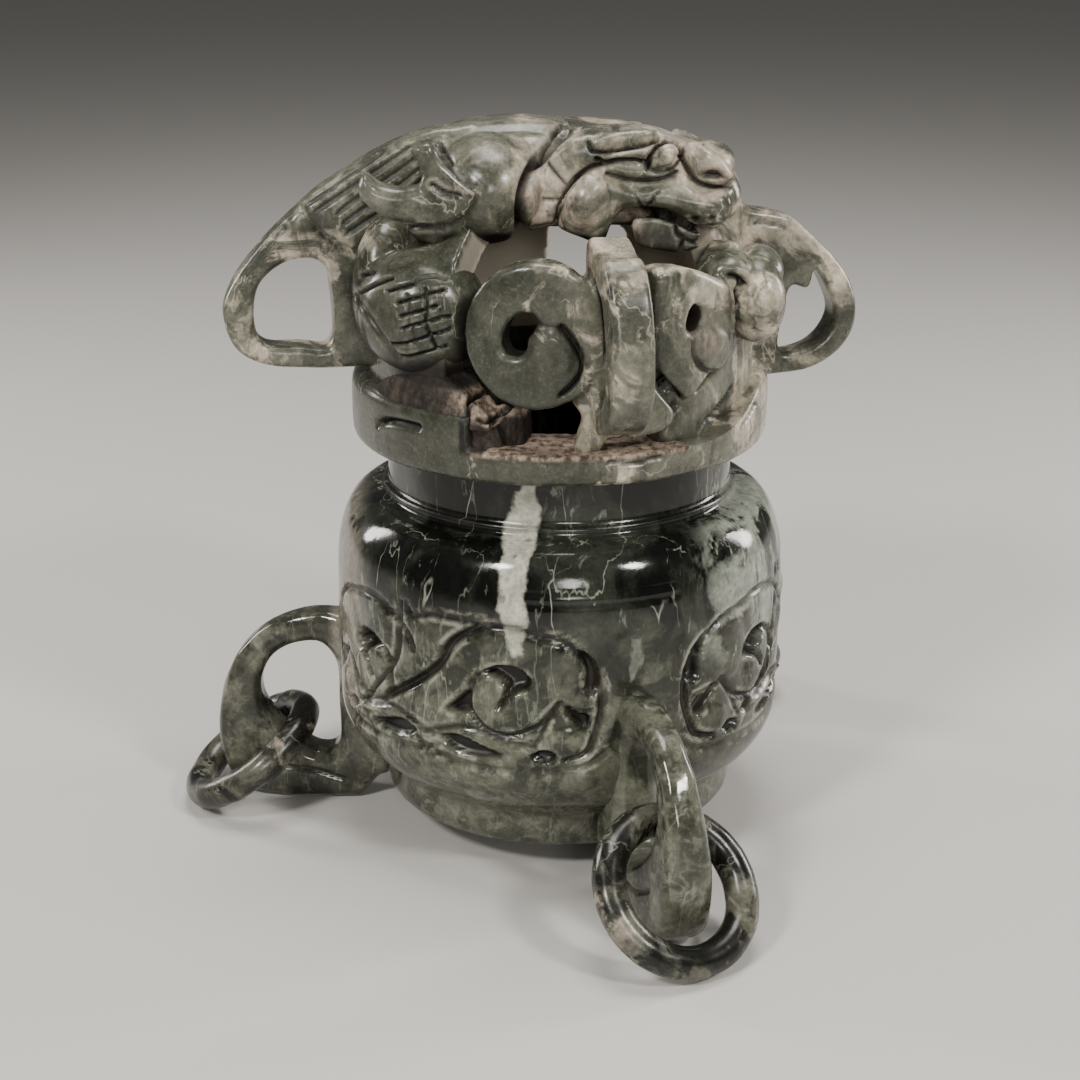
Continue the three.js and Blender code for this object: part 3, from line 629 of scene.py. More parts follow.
FIN_RIGHT = (40, 165, 44, 169, 47.5, 158.6, 56.1, 156.1, 61.6, 154, 70.2, 146.5, 76, 140.2, 79.3, 133.6,
             79.7, 125.4, 75.9, 118.7, 67.7, 113.6, 58.4, 112.5, 48, 112, 40, 113)
FIN_RIGHT_HOLE = (59.3, 119, 66, 119.4, 71.2, 123, 73.6, 128.6, 71.5, 135, 67.9, 140.6, 66.2, 135.6, 61.4,
                  136.2, 59.4, 128)
HORN_UPPER = (-35.8, 178.6, -32.6, 179.9, -30, 179.6, -27.8, 176, -25, 173.5, -20, 168, -24, 162, -31, 165,
              -33.4, 169.8, -32.7, 172.9, -34.2, 175.8)
HORN_LOWER = (-46.5, 172.5, -43.2, 170.2, -38.6, 169.2, -34.5, 169.6, -31, 168, -22, 166, -28, 159.5, -38.8,
              161, -44.5, 163.8, -47.6, 166.9, -48, 169.8)


def carve_head(carving):
    """The dragon's head, drawn as seen from the front."""
    carving.pad((7.2, 173.8, 3.6, 170.5, 1.2, 167.6, 0.2, 164.6, -0.8, 161.5, -1.2, 158.4, 3, 156.6, 8.3,
                 154.5, 10.6, 155.4, 11.7, 158, 13.6, 160.6, 15.1, 162.3, 18, 163, 22, 163, 25.4, 162.5, 28,
                 161.5, 30.2, 159.8, 33.3, 158.4, 38, 158.4, 41, 161, 41.6, 165, 39.5, 167.6, 34, 168.2,
                 31.4, 169.8, 28, 171, 25.6, 170, 22.7, 169, 18, 168.6, 13.2, 170.2, 10.5, 172.2), 2.2, 2.6)
    carving.ridge((4.4, 161.5, 7.2, 167, 12.4, 168, 18.4, 165.8, 24, 166.2, 30, 164.6, 36.5, 163.4), 3.4,
                  0.9)
    carving.pad((8, 176.6, 11.5, 177.1, 17.4, 178.1, 21.6, 178.9, 24.5, 180.4, 21.6, 181.6, 15, 181.6, 9.9,
                 180.4, 7.4, 179.2), 1.7, 1.6)
    carving.pad((10.2, 174.3, 12.5, 174.6, 16, 175.2, 20.4, 175.2, 22.6, 177.8, 17.4, 177.2, 11.5, 176.2,
                 8.4, 175.8), 1.5, 1.2)
    carving.pad((10.8, 172.4, 12.3, 173.6, 15.8, 172.9, 20.1, 172.8, 22.2, 172.2, 26.5, 171.9, 25.6, 170.9,
                 22.7, 170.2, 19, 170.2, 14.5, 171), 1.0, 0.8)
    carving.pad((21.4, 172.9, 22.4, 175.2, 23.6, 177, 25.4, 177.7, 27.2, 177.2, 27.8, 175.6, 26.6, 173.4,
                 24.2, 172.3), 1.5, 1.3)
    carving.pad((28.9, 178.3, 32.3, 178.3, 35.3, 177.2, 38.4, 175.1, 41, 172.6, 41.6, 169.4, 37, 168.8,
                 33.2, 169.8, 30.8, 171.8, 28.8, 175.2), 2.4, 2.4)
    carving.grooves(
        ((-9.3, 153, -9.4, 160.6, -9, 165.8, -7.7, 170.5, -5.4, 174.7, -2.4, 178.5, 0.8, 181.4, 3, 183),
         1.7, 3.4, 1.6, 1),
        ((-7.9, 186, -7.9, 182, -7, 179.2), 0.9, 1.6),
        ((-3.4, 173.9, -1.4, 171.4, 1.2, 168.4), 0.55, 0.9),
        ((-6.8, 165.4, -4, 165.1, -0.6, 165), 0.5, 0.8),
        ((-7.2, 157.9, -3.5, 158.5, -1.1, 158.9), 0.6, 1),
        ((10.2, 173.4, 6.8, 172.6, 3.6, 170.2, 1.1, 167.4, -0.2, 163.6, -1.3, 158.4, -1, 156), 0.8, 1.9,
         1.2, 1),
        ((6.4, 179, 7.6, 176.4, 11.5, 176.7, 15.5, 177.4, 20.8, 178.4, 23.4, 179.4), 0.6, 1.5, 0.7),
        ((12, 184, 12.6, 181.9), 0.5, 0.8),
        ((12.9, 184, 13.5, 181.7), 0.4, 0.7),
        ((8.4, 174.8, 10.6, 173.9, 13.6, 174.2, 17.4, 174.2, 21, 173.4), 0.75, 2, 0.8, 1),
        ((20.8, 172.4, 21.2, 174.6, 22.6, 177.4, 24.6, 178.9, 26.9, 179, 28.4, 177.6, 28.8, 175.6), 0.7,
         1.9, 0.7, 1),
        ((21.6, 172.2, 24, 171.4, 26.4, 172.2, 28.2, 174.2), 0.55, 1.2, 0.6),
        ((10.8, 171.2, 13.2, 170.5, 16.2, 169.8, 20.4, 169.5, 24.6, 170.1, 27.6, 171.6), 0.65, 1.5, 0.8),
        ((28.4, 175.6, 29.9, 173, 31.6, 170.4, 33.2, 168.9, 36.9, 167.9, 40.8, 168.3, 42.4, 170), 0.8,
         2.2, 1, 1),
        ((17.6, 166.6, 18.9, 164.9, 19.8, 163.2), 0.45, 0.7),
        ((23.2, 167.1, 21.1, 164.9, 20.2, 163.2), 0.45, 0.6),
        ((12.4, 155.6, 13.6, 158.4, 15.6, 161.2, 18.8, 162.2, 24.2, 161.6, 29.4, 159.4, 34, 157.6), 1.2,
         2.6, 0.8, 1),
        ((27.9, 158.4, 28.3, 156.6, 29.6, 155.4, 29.2, 153.2, 30, 151), 0.7, 1.6, 0.6, 1),
        ((35.8, 155.2, 32.8, 154.6, 30.6, 154.9), 0.6, 1.3, 0.5, 1))
    carving.ridge((29, 176.6, 32, 177.4, 35, 175.8, 37.6, 173.6), 1.6, 0.7)
    carving.pit((33.4, 170.8, 35.3, 172.4, 37.6, 172.2, 38.8, 170.5, 36.4, 170), 2.8, edge=0.6)
    carving.pit((30.9, 160.8, 32.1, 161.6, 33.4, 161.5, 32.4, 160.3), 1.5, edge=0.5)
    carving.pit((35.2, 161.3, 36.4, 161.9, 36.8, 161), 1.1, edge=0.4)


def carve_neck(carving):
    """The deep lines of the neck beside the horns, drawn as seen from the front."""
    carving.grooves(
        ((-9.3, 153, -9.4, 160.6, -9, 165.8, -7.7, 170.5, -5.4, 174.7, -2.4, 178.5, 0.8, 182), 1.9, 3.2,
         2.2, 1),
        ((-29, 178, -27.1, 174.4, -25.1, 172.1, -23.2, 170.1, -21, 168), 0.9, 1.6, 2.6, 0.9),
        ((-39.8, 157, -37.5, 158, -33, 158.2, -28.4, 158.1), 0.7, 1.4),
        ((-31, 168.6, -28, 166.6, -24.5, 166), 0.8, 1.4))


MANE_LINES = ((-43.8, 175.8, -49.9, 171.5, -59, 165.4, -65, 161.7),
              (-38.9, 175.4, -47.2, 169.8, -58, 163.2, -64.1, 159.4),
              (-38, 172.4, -43.6, 168.4, -51.8, 163.6, -57.2, 159.7),
              (-36.8, 170, -42.1, 165.8, -50.2, 161, -55.8, 157.2),
              (-35.8, 167.7, -40.3, 163.9, -47.3, 159.3, -55.4, 154.2),
              (-38.6, 161.3, -45.6, 156.6, -51.4, 152.6))


def carve_fin(carving):
    """The parallel lines of the sweeping mane, drawn in the fin's own plane."""
    for line in MANE_LINES:
        carving.groove(line, 0.62, 0.6, 0.5, 0.55)
    carving.grooves(
        ((-66.2, 161.6, -63.4, 157.5, -59.9, 153.6, -54, 150.5, -47, 149.4), 1.1, 1, 2.4, 0.3),
        ((-70.5, 156.4, -75, 151.4, -79.8, 144.6), 1, 0.7, 2, 0.2),
        ((50.5, 153.4, 58, 152.2, 65, 146, 70.5, 140), 0.9, 0.7, 2.2, 0.3))


def towards_viewer(normal):
    return soft((-normal[:, 1] + 0.35) / 0.4)


def drawn_twice(p, normal, draw, share=1.0):
    """A drawing cut into the front as it is seen from there, and into the back straight through."""
    front = Carving(seen_from_front(p))
    draw(front)
    at_front = soft((-p[:, 1] - 4) / 5) * towards_viewer(normal)
    back = Carving(np.column_stack([p[:, 0], UNDER + (p[:, 2] - UNDER) / share]))
    draw(back)
    at_back = soft((p[:, 1] - 8) / 6) * soft((normal[:, 1] + 0.2) / 0.4)
    cut = (front.cut - front.swell) * at_front + (back.cut - back.swell) * at_back
    return (cut, np.maximum(front.shade_fill * at_front, back.shade_fill * at_back),
            np.maximum(front.worn * at_front, back.worn * at_back))


def level(z, share):
    """A height brought nearer to the underside of the crest."""
    return UNDER + (z - UNDER) * share


def lowered(outline, share):
    p = pairs(outline)
    p[:, 1] = level(p[:, 1], share)
    return p


def make_crest(finish):
    parts = [
        facing(slab(CREST, thick=24, round_edge=6), 0),
        facing(slab(lowered(CREST, 0.9), thick=36, round_edge=6), 0),
        facing(slab(NECK, thick=50, round_edge=7), 0),
        upright(slab(FIN_LEFT, [FIN_LEFT_HOLE], 10.5, 2.2), LID_TURN),
        upright(slab(FIN_RIGHT, [FIN_RIGHT_HOLE], 10.5, 2.2), LID_TURN),
        facing(slab(HORN_UPPER, thick=9, round_edge=2.4), -34),
        facing(slab(HORN_LOWER, thick=9, round_edge=3.0), -34),
        lump((-18, -19, 166.5), (15, 17, 13.5)),
        lump((-29, -22, 160.6), (10, 12, 8)),
        lump((-18, 17, 163), (15, 15, 12)),
    ]
    mesh = remeshed(joined(parts), voxel=0.62, smooth=4)
    p = spots_of(mesh)
    normal = normals_of(mesh)
    cut, shade_fill, worn = drawn_twice(p, normal, carve_neck)
    a = math.radians(LID_TURN)
    along = p[:, 0] * math.cos(a) + p[:, 1] * math.sin(a)
    across = -p[:, 0] * math.sin(a) + p[:, 1] * math.cos(a)
    fin = Carving(np.column_stack([along, p[:, 2]]))
    carve_fin(fin)
    on_fin = (np.abs(across) > 3.2) & (np.abs(across) < 6.5) & (np.abs(along) > 34)
    cut = np.where(on_fin, fin.cut, cut)
    worn = np.where(on_fin, fin.worn, worn)
    # painted shade on the underside of the crest, below the neck and head
    under = soft((158.4 - p[:, 2]) / 1.8) * soft((0.45 - normal[:, 2]) / 0.4) * (np.abs(along) < 34)
    shade_fill = np.maximum(np.where(on_fin, fin.shade_fill, shade_fill), under)
    p -= normal * (cut + 0.25 * waviness(p, 11))[:, None]
    put_spots(mesh, p)
    finish_lid_piece("dragon_crest", mesh, finish, residue=shade_fill, worn=worn * 0.7)


def make_head(finish):
    """The head in profile, one half at the front and a lower one at the back of the crest."""
    for name, side, share in (("dragon_head", -1, 1.0), ("dragon_head_back", 1, BACK_HEAD_SHARE)):
        parts = [
            facing(slab(lowered(HEAD, share), thick=22, round_edge=4), side * 15.5),
            lump((16, side * 19, level(175.4, share)), (13, 9, 4.6 * share)),
            lump((5.5, side * 20, level(164, share)), (7.5, 9.6, 8.4 * share)),
            lump((36.6, side * 18, level(172.4, share)), (6, 10, 5.4 * share)),
            facing(slab(CHIN, thick=15, round_edge=1.8), side * 18),
        ]
        mesh = remeshed(joined(parts), voxel=0.42 if side < 0 else 0.7, smooth=4)
        p = spots_of(mesh)
        normal = normals_of(mesh)
        cut, shade_fill, worn = drawn_twice(p, normal, carve_head, share)
        # painted shade under the front of the head
        under = soft((158.2 - p[:, 2]) / 2) * soft((14 - p[:, 0]) / 3) * soft((0.4 - normal[:, 2]) / 0.4)
        # the chin is darkened: partly its darker stone, partly painted shade beneath it
        chin = soft((158.6 - p[:, 2]) / 3) * soft((p[:, 0] - 14) / 3) * soft((37 - p[:, 0]) / 3) * 0.55
        p -= normal * (cut + 0.2 * waviness(p, 8))[:, None]
        put_spots(mesh, p)
        finish_lid_piece(name, mesh, finish, residue=np.maximum.reduce([shade_fill, under, chin]),
                         worn=worn * 0.6)


def ring_line(middle, radius, count=24):
    return [(middle[0] + radius * math.cos(math.radians(t)), middle[1] + radius * math.sin(math.radians(t)))
            for t in np.linspace(0, 360, count, endpoint=False)]


FRONT_LOOP = (44, 113, 50, 112.6, 57, 114, 65, 117.4, 70, 124, 71.2, 132, 70.4, 140, 67.4, 149, 61.5, 155.6,
              56, 156.6, 44, 156.2)
FRONT_LOOP_HOLE = (53, 121.6, 58.5, 121.8, 61.8, 127, 62.2, 135, 60, 144, 56, 148, 53, 147.6)


SCALE_LINES = ((-48.6, 146.5, -45.6, 147.4), (-49.3, 142.3, -45.2, 144.2, -41.1, 145.9),
               (-42.5, 142.6, -39.4, 143.6, -36.1, 144.6), (-40.1, 139.7, -37, 140.7, -33.3, 141.5),
               (-32.7, 142, -28.6, 143), (-39.6, 136.4, -36.3, 137.3, -33.4, 138.1),
               (-32.6, 138.5, -30.3, 139.1), (-39.2, 133.2, -36.3, 134.1, -32.9, 135),
               (-32.2, 135.1, -29.8, 135.9, -26.9, 136.5),
               (-42.2, 129.3, -38.5, 129.5, -35.2, 130.4, -32.3, 131.4, -29.4, 132.3, -27, 133.2),
               (-39.8, 126.3, -37.8, 126.1, -35.3, 126.7, -32.8, 127.4, -30.5, 128.1, -28.3, 128.8),
               (-33.3, 143.4, -33.1, 141.3, -32.9, 138.9, -33.2, 134.7, -32.3, 131.8, -30.7, 128.4))
SCALE_EDGES = ((-37.7, 141.6, -37.4, 133.6), (-36.6, 133, -36.2, 131.4, -36.7, 129.3),
               (-29.6, 142.4, -29.2, 136.8), (-36, 145.4, -31.5, 146.2, -28, 145.6))


def make_scrolls(finish):
    disc = ring_line((-6.2, 136.6), 17.9)
    eye = (-14.4, 134.5, -14, 137.6, -12.5, 140.3, -10.2, 142.2, -7.2, 142.4, -5.6, 140.4, -6.3, 138.2,
           -8.2, 136.2, -8.4, 133.2, -10.2, 131.9, -13.2, 132.2)
    right = (22.6, 149, 24, 151.6, 31, 151.4, 38.3, 149.3, 46.1, 145.8, 49.6, 143, 50.7, 137, 50.3, 130,
             48.4, 126.4, 42.4, 124.6, 37.4, 121.6, 31.6, 117.4, 27.4, 121.4, 23.6, 126.8, 22.8, 134)
    leaf = (32.5, 135.9, 32.2, 138.3, 33.4, 141.3, 35.2, 142.2, 36.9, 139.7, 36.3, 137.2, 35, 135.8)
    low = (16, 124.5, 22.2, 126, 25.7, 121.8, 29.2, 117, 28.9, 113.6, 26.5, 111.8, 21.6, 111.2, 16.5, 111.6)
    lobe = (2.5, 126.5, 2.6, 120.6, 5.4, 116, 4.2, 111, 3.6, 107.2, 9.5, 107.2, 12, 110.8, 16, 111.4, 15,
            122, 12.2, 139, 9, 148, 4.5, 146, 5, 136)
    wall = (29, 107, 62, 107, 62, 150, 52, 151, 46, 146, 43, 138, 41, 128, 35, 122, 30, 115)
    parts = []
    for outline, holes, thick, edge, radius, sharp in (
        (disc, [eye], 9.5, 2, 48.2, True),
        (ring_line((-2.2, 132.6), 6), (), 8, 2, 49.6, True),
        (right, [leaf], 9.5, 2.2, 48, False),
        (ring_line((40.8, 130.3), 6.3), (), 8, 2.6, 50.2, True),
        (low, (), 9, 2.8, 48.4, False),
        (lobe, (), 8, 2.6, 46.8, False),
        (wall, (), 9, 2.6, 45, False),
    ):
        sheet = remeshed(slab(outline, holes, thick, edge, sharp=sharp), voxel=0.8, smooth=0)
        parts.append(bent(sheet, radius))
    parts += [upright(slab(FRONT_LOOP, [FRONT_LOOP_HOLE], 10, 1.4), turn)
              for turn in (FRONT_LOOP_TURN, REAR_LOOP_TURN)]
    parts += [lump((48, -23, 139.6), (7.2, 9.5, 10.8), 25), lump((49.6, -17, 146), (5.4, 9, 6.2), 20),
              lump((41, -24, 147), (7, 8, 5))]
    mesh = remeshed(joined(parts), voxel=0.6, smooth=3)
    p = spots_of(mesh)
    normal = normals_of(mesh)
    spots = wall_spots(p)
    carving = Carving(spots)
    carving.grooves(
        ((-0.2, 139.4, 2.6, 136.2, 4.6, 132, 4.6, 128.6, 2.8, 125.6, -0.1, 122.9), 0.9, 2.4, 2.6, 1),
        ((-5.5, 140, 1.1, 138.9), 0.6, 0.6),
        ((7.6, 150, 9.5, 145.7, 10.6, 138.4, 10.8, 132), 0.9, 1.8),
        ((21.5, 128.2, 26.4, 123.2, 32.5, 118.1), 1, 3, 2.6, 1),
        ((33.6, 133.4, 34.2, 129.4, 37, 125.6, 41, 124.6), 0.8, 1),
        ((47.4, 147.4, 50.6, 144.6, 52.2, 138, 51.9, 130, 49.8, 125.2, 44, 122.9, 38.6, 120.6), 1.1, 2.6,
         1.2, 0.95),
        ((46, 113.2, 49.7, 114.4, 54.4, 116.9), 0.9, 1.8, 0.8, 1),
        ((40.5, 109.6, 43.5, 112, 49.4, 110.6), 0.8, 1, 2.6, 0.7))
    outward = soft((normal[:, 0] * p[:, 0] + normal[:, 1] * p[:, 1]) / reach_of(p) / 0.4)
    front = outward * (p[:, 1] < 0)
    radius = reach_of(p)
    keep_loop = np.where(radius > 56.5, 0.0, 1.0)
    p -= normal * ((carving.cut - carving.swell) * front * keep_loop + 0.2 * waviness(p, 9))[:, None]
    put_spots(mesh, p)
    # painted shade inside the eye and leaf holes
    hollow = Carving(spots)
    for outline in (leaf, eye):
        around = pairs(outline)
        hollow.pit(around.mean(0) + (around - around.mean(0)) * 1.3, 0)
    # painted shade in the scrolls' cuts and holes; the brown near the boss is the stone's own
    shade_fill = np.maximum(carving.shade_fill * front * keep_loop, hollow.shade_fill * (radius < 51.2))
    brown = soft(1 - np.hypot(spots[:, 0] - 37.6, spots[:, 1] - 133.6) / 6.5) * 0.5 * (radius > 44)
    finish_lid_piece("cloud_scrolls", mesh, finish, residue=shade_fill, earth=brown)


def make_scaly_body(finish):
    """The coiled body at the left with its crossed scale cuts."""
    mesh = remeshed(joined([
        lump((-34, -29.6, 138.2), (16.6, 14.5, 15.6), -25),
        lump((-43, -17, 141), (8.5, 12, 18), -20),
        lump((-30, -24, 148), (9, 9, 8)),
    ]), voxel=0.42, smooth=6)
    p = spots_of(mesh)
    normal = normals_of(mesh)
    scales = Carving(seen_from_front(p))
    for line in SCALE_LINES:
        scales.groove(line, 0.52, 1.4, 0.3, 1)
    for line in SCALE_EDGES:
        scales.groove(line, 0.45, 0.5, 0.4, 0.4)
    scales.groove((-50.5, 141.4, -45.4, 132.8, -40.1, 125.4), 0.9, 0.9, 2, 0.4)
    front = towards_viewer(normal) * (p[:, 1] < -14)
    p -= normal * (scales.cut * front + 0.25 * waviness(p, 10))[:, None]
    put_spots(mesh, p)
    # painted shade in the scale cuts, under the coiled body and beside it at the gap next to the disc
    below = soft((130.5 - p[:, 2]) / 4.5)
    beside = soft((scales.spots[:, 0] + 26.6) / 2.4) * soft((146 - p[:, 2]) / 6) * 0.9
    finish_lid_piece("scaly_body", mesh, finish,
                     residue=np.maximum(scales.shade_fill * front, np.maximum(below, beside)),
                     worn=scales.worn * front * 0.35)


def make_rough_stone(finish):
    """The uncut brown stone at the left: a block left standing on the ledge and the slope behind it."""
    block = (-28, 106, -28.2, 116.4, -22, 117, -15, 116.4, -11.4, 115.4, -10.8, 112, -12, 107)
    slope = (-58, 113, -56, 118.4, -49.8, 122, -38, 124.6, -31, 124.4, -26, 121.6, -20.5, 117.8, -18, 113)
    block = remeshed(slab(block, thick=10, round_edge=1), voxel=0.6, smooth=0)
    p = spots_of(block)
    p[:, 2] -= np.clip(p[:, 0] + 22, 0, 12) * 0.7       # the block's right end turns inwards
    put_spots(block, p)
    slope = remeshed(slab(slope, thick=12, round_edge=2), voxel=0.6, smooth=0)
    p = spots_of(slope)
    p[:, 2] -= (p[:, 1] - 116) * 0.28                   # the slope leans back
    put_spots(slope, p)
    mesh = remeshed(joined([bent(block, 46.8), bent(slope, 47.4)]), voxel=0.5, smooth=2)
    p = spots_of(mesh)
    normal = normals_of(mesh)
    spots = wall_spots(p)
    carving = Carving(spots)
    carving.grooves(
        ((-23.5, 120.6, -22.6, 115, -23.8, 108), 0.7, 1.8, 0.5, 1),
        ((-20, 116.2, -17.6, 115.8, -15.4, 116.4), 0.7, 1.6, 0.5, 1),
        ((-17.2, 120, -16.4, 113, -15, 108), 0.6, 1.4, 0.5, 1))
    x, y, z = p.T
    grit = (np.sin(x * 2.9 + y * 1.3) * np.sin(z * 2.3 - x * 0.9) + 0.6 * np.sin(z * 4.7 + x * 3.1)
            + 0.5 * np.sin(x * 6.1 - y * 4.3))
    p -= normal * (carving.cut - 0.13 * grit)[:, None]
    put_spots(mesh, p)
    upper = soft((normal[:, 2] - 0.1) / 0.5)
    # painted shade: besides the cuts, faces not turned upwards, the left end under the coiled body and the
    # slope's top edge are darkened as if in shadow; the brown is the stone's own
    finish_lid_piece("rough_stone", mesh, finish,
                     residue=np.maximum.reduce([carving.shade_fill, 0.9 * (1 - upper),
                                                0.88 * soft((-24 - spots[:, 0]) / 6),
                                                soft((p[:, 2] - 120) / 2.5)]), earth=np.full(len(p), 1.0))


# Stone
def new_group(name, inputs, outputs):
    """A group of nodes, the net that fills it, what it is given and where its results go."""
    group = bpy.data.node_groups.new(name, "ShaderNodeTree")
    for label, value in inputs.items():
        kind = {float: "Float", tuple: "Color"}.get(type(value), "Vector")
        socket = group.interface.new_socket(label, in_out="INPUT", socket_type="NodeSocket" + kind)
        if value is not None:
            socket.default_value = value
    for label, kind in outputs.items():
        group.interface.new_socket(label, in_out="OUTPUT", socket_type="NodeSocket" + kind)
    given = group.nodes.new("NodeGroupInput").outputs
    return group, Net(group), given, group.nodes.new("NodeGroupOutput").inputs


class Net:
    """Adds nodes to a tree and joins them."""

    def __init__(self, tree):
        self.tree = tree
        self.color = None

    def node(self, kind, settings=None, **values):
        node = self.tree.nodes.new(kind)
        for key, value in (settings or {}).items():
            setattr(node, key, value)
        for key, value in values.items():
            self.feed(node.inputs[key.replace("_", " ")], value)
        return node

    def feed(self, socket, value):
        if isinstance(value, bpy.types.NodeSocket):
            self.tree.links.new(value, socket)
        else:
            socket.default_value = (*value, 1) if socket.type == "RGBA" else value

    def fed(self, node, places, values):
        """The node's result once the values are in those of its inputs."""
        for place, value in zip(places, values):
            self.feed(node.inputs[place], value)
        return next(output for output in node.outputs if output.enabled)

    def math(self, operation, a, b=0.0):
        return self.fed(self.node("ShaderNodeMath", {"operation": operation}), (0, 1), (a, b))

    def times(self, a, *others):
        for b in others:
            a = self.math("MULTIPLY", a, b)
        return a

    def plus(self, a, b):
        return self.math("ADD", a, b)

    def minus(self, a, b):
        return self.math("SUBTRACT", a, b)

    def span(self, value, low, high, to_low=0.0, to_high=1.0):
        node = self.node("ShaderNodeMapRange", {"interpolation_type": "SMOOTHSTEP"})
        return self.fed(node, range(5), (value, low, high, to_low, to_high))

    def mix(self, share, a, b, blend="MIX"):
        node = self.node("ShaderNodeMix", {"data_type": "RGBA", "blend_type": blend})
        return self.fed(node, (0, 6, 7), (share, a, b))

    def lay(self, mask, strength, tone):
        """A second tone over the colour so far where the mask is."""
        self.color = self.mix(self.times(mask, strength), self.color, tone)

    def noise(self, vector, scale, detail=6.0, rough=0.6, distortion=0.0):
        return self.node("ShaderNodeTexNoise", Vector=vector, Scale=scale, Detail=detail, Roughness=rough,
                         Distortion=distortion).outputs["Fac"]

    def stretch(self, vector, scale, turn=(0, 0, 0), move=(0, 0, 0)):
        return self.node("ShaderNodeMapping", Vector=vector, Scale=scale, Rotation=turn,
                         Location=move).outputs[0]


def build_veins():
    """Fine pale veins that wander and break off."""
    group, net, given, result = new_group(
        "stone_veins", {"Vector": None, "Scale": 40.0, "Width": 0.012, "Level": 0.5, "Broken": 0.5},
        {"Mask": "Float"})
    field = net.noise(given["Vector"], given["Scale"], 5.0, 0.52, 0.15)
    away = net.math("ABSOLUTE", net.minus(field, given["Level"]))
    line = net.span(away, 0.0, given["Width"], 1.0, 0.0)
    patchy = net.noise(net.stretch(given["Vector"], (1, 1, 1), move=(0.7, 0.3, 0.9)), 48.0, 5.0, 0.65)
    gate = net.span(patchy, given["Broken"], net.plus(given["Broken"], 0.08))
    net.feed(result["Mask"], net.times(line, gate))
    return group


def build_mottle():
    """Small light and dark specks over a colour."""
    group, net, given, result = new_group(
        "stone_mottle", {"Color": (0.5, 0.5, 0.5, 1), "Vector": None, "Strength": 0.5}, {"Color": "Color"})
    coarse = net.span(net.noise(given["Vector"], 260.0, 8.0, 0.68), 0.34, 0.66, -1.0, 1.0)
    fine = net.span(net.noise(given["Vector"], 900.0, 3.0, 0.6), 0.34, 0.66, -0.5, 0.5)
    factor = net.math("POWER", 2.0, net.times(net.plus(coarse, fine), given["Strength"]))
    net.feed(result["Color"], net.mix(1.0, given["Color"], factor, "MULTIPLY"))
    return group


def build_clouds():
    """Soft-edged patches of a second stone colour."""
    group, net, given, result = new_group(
        "stone_clouds", {"Vector": None, "Scale": 30.0, "Level": 0.5, "Softness": 0.1, "Twist": 0.6},
        {"Mask": "Float"})
    field = net.noise(given["Vector"], given["Scale"], 8.0, 0.62, given["Twist"])
    low = net.minus(given["Level"], given["Softness"])
    net.feed(result["Mask"], net.span(field, low, net.plus(given["Level"], given["Softness"])))
    return group


def build_polish():
    """Hand polish: faint smears, fine scratches, and dull rough ground where the stone is uncut."""
    group, net, given, result = new_group(
        "hand_polish", {"Vector": None, "Gloss": 0.14, "Rough Ground": 0.0},
        {"Roughness": "Float", "Height": "Float"})
    vector = given["Vector"]
    smear = net.span(net.noise(vector, 90.0, 5.0, 0.6), 0.45, 0.75, 0.0, 0.14)
    rough = net.fed(net.node("ShaderNodeMix", {"data_type": "FLOAT"}), (0, 2, 3),
                    (given["Rough Ground"], net.plus(given["Gloss"], smear), 0.7))
    net.feed(result["Roughness"], rough)
    scratch = net.noise(net.stretch(vector, (1.0, 1.0, 6.0), (0.5, 0.4, 0.0)), 700.0, 2.0)
    grain = net.times(net.noise(vector, 900.0, 4.0, 0.7), given["Rough Ground"], 1.6)
    lumps = net.times(net.noise(vector, 160.0, 2.0), 0.35)
    net.feed(result["Height"], net.plus(net.plus(net.times(scratch, 0.05), grain), lumps))
    return group


VEINS = build_veins()
CLOUDS = build_clouds()
POLISH = build_polish()
MOTTLE = build_mottle()


